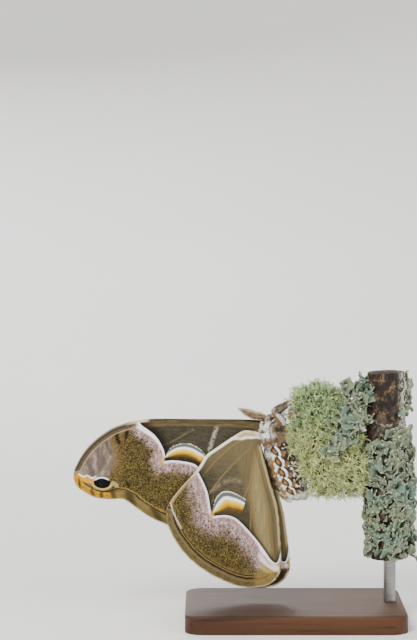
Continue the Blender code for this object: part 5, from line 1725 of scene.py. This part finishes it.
leaf_finish = Finish("leafy_lichen", shade(130, 142, 116), 0.88)
leaf_cloud = leaf_finish.cloud(leaf_finish.places, 130.0, 3.0)
leaf_fine = leaf_finish.cloud(leaf_finish.places, 1400.0, 2.0)
leaf_finish.lay(leaf_finish.ease(leaf_cloud, 0.48, 0.62), shade(114, 138, 120))
leaf_finish.lay(leaf_finish.ease(leaf_cloud, 0.42, 0.32), shade(148, 150, 112), 0.8)
leaf_finish.lay(leaf_finish.ease(leaf_fine, 0.42, 0.28), shade(60, 70, 54), 0.85)
# Painted shade: each lobe is darker towards its base, where it lies under the lobes around it
leaf_finish.lay(leaf_finish.ease(leaf_finish.number("tip"), 0.4, 0.0), shade(46, 48, 38), 0.95)
leaf_edge = leaf_finish.ease(leaf_finish.number("rim"), 0.7, 0.95)
frosted_edge = leaf_finish.both(leaf_edge, leaf_finish.ease(leaf_fine, 0.34, 0.5))
leaf_finish.lay(frosted_edge, shade(214, 216, 196), 0.9)
leafy_green = leaf_finish.done(leaf_fine, 0.0003)
LEAF_FORMS = 9
BARK_LEAVES = 1110
leaves = lock_set("lichen_leaves", [leaf_shape(leaf_draw) for i in range(LEAF_FORMS)])
leaf_roots, leaf_lies, leaf_faces, leaf_reaches = [], [], [], []
while len(leaf_roots) < BARK_LEAVES:
    share = leaf_draw.random()
    turn = leaf_draw.uniform(0, 2 * math.pi)
    out = branch_side * math.cos(turn) + branch_front * math.sin(turn)
    place = BRANCH_FOOT + (BRANCH_TOP - BRANCH_FOOT) * share + out * (BRANCH_RADIUS - 0.9)
    bare = noise.noise(Vector(place) / 7.0 + Vector((3, 1, 8)))
    crowd = 1.0 if share < 0.62 else 0.62
    crowd -= 0.75 * (share > 0.7 and out @ np.array((0.3, -0.95, 0)) > 0.45)
    if bare > crowd - 0.42 or share < 0.02 or share > 0.97:
        continue
    tangent = unit(np.cross(out, branch_way))
    aim = leaf_draw.uniform(0, 2 * math.pi)
    leaf_roots.append(place)
    leaf_faces.append(out)
    leaf_way = branch_way * math.cos(aim) + tangent * math.sin(aim) + out * leaf_draw.uniform(0.1, 1.2)
    leaf_lies.append(unit(leaf_way))
    leaf_reaches.append(leaf_draw.uniform(1.4, 3.6))
# Where leaves stand in the tuft: how many, then the corners of the room in side view
TUFT_LEAVES = ((34, (10.5, 55.5), (19.5, 66.5)), (44, (16.0, 66.0), (24.0, 78.0)))
for count, low, high in TUFT_LEAVES:
    for i in range(count):
        x, z = leaf_draw.uniform(low[0], high[0]), leaf_draw.uniform(low[1], high[1])
        depths = np.linspace(-12.0, 0.0, 60)
        column = np.stack([np.full(60, x), depths, np.full(60, z)], 1)
        within = out_of_tuft(column) < 0.95
        if within.any():
            leaf_roots.append(column[within.argmax()])
        else:
            leaf_roots.append(column[-1] - (0, leaf_draw.random() * 4, 0))
        leaf_faces.append(unit(np.array((0.1, -1.0, 0.3))))
        aside = leaf_draw.uniform(-1, 1)
        outward = leaf_draw.uniform(-1.0, -0.2)
        upward = leaf_draw.uniform(-0.6, 1)
        leaf_lies.append(unit(np.array([aside, outward, upward])))
        leaf_reaches.append(leaf_draw.uniform(2.4, 4.4))
spots = np.zeros((len(leaf_roots), 3))
spots[:, 0] = np.linspace(0.02, 0.98, len(leaf_roots))
spots[:, 1] = 0.5
leafy = grow(
    "leafy_lichen", np.array(leaf_roots), np.array(leaf_lies), np.array(leaf_faces), np.array(leaf_reaches),
    spots, {}, leaves, 1.0, leafy_green, 0.2,
)
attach(leafy, "root")
clear_locks(leaves)

# Stand: a dark varnished wooden base with a satin steel rod up to the branch.
wood_finish = Finish("stand_wood", shade(72, 48, 34), 0.5)
wood_finish.shader.inputs["Specular IOR Level"].default_value = 0.15
wood_grain = wood_finish.cloud(wood_finish.stretch(wood_finish.places, (0.06, 1.0, 1.0)), 500.0, 4.0, 0.6)
wood_rings = wood_finish.cloud(wood_finish.stretch(wood_finish.places, (0.12, 1.0, 1.0)), 90.0, 2.0)
wood_finish.lay(wood_finish.ease(wood_rings, 0.35, 0.65), shade(92, 62, 42))
wood_finish.lay(wood_finish.ease(wood_grain, 0.5, 0.68), shade(50, 32, 24), 0.8)
wood_dark = wood_finish.done(wood_grain, 0.00005)
steel_finish = Finish("stand_steel", shade(168, 166, 162), 0.32)
steel_finish.shader.inputs["Metallic"].default_value = 1.0
steel_lines = steel_finish.cloud(steel_finish.stretch(steel_finish.places, (1.0, 1.0, 14.0)), 300.0, 2.0)
steel_finish.lay(steel_finish.ease(steel_lines, 0.3, 0.7), shade(150, 148, 145))
steel_satin = steel_finish.done(steel_lines, 0.00002)
for node_name, material in (("stand_base", wood_dark), ("stand_rod", steel_satin)):
    slots = frame["nodes"][node_name].data.materials
    slots.clear()
    slots.append(material)
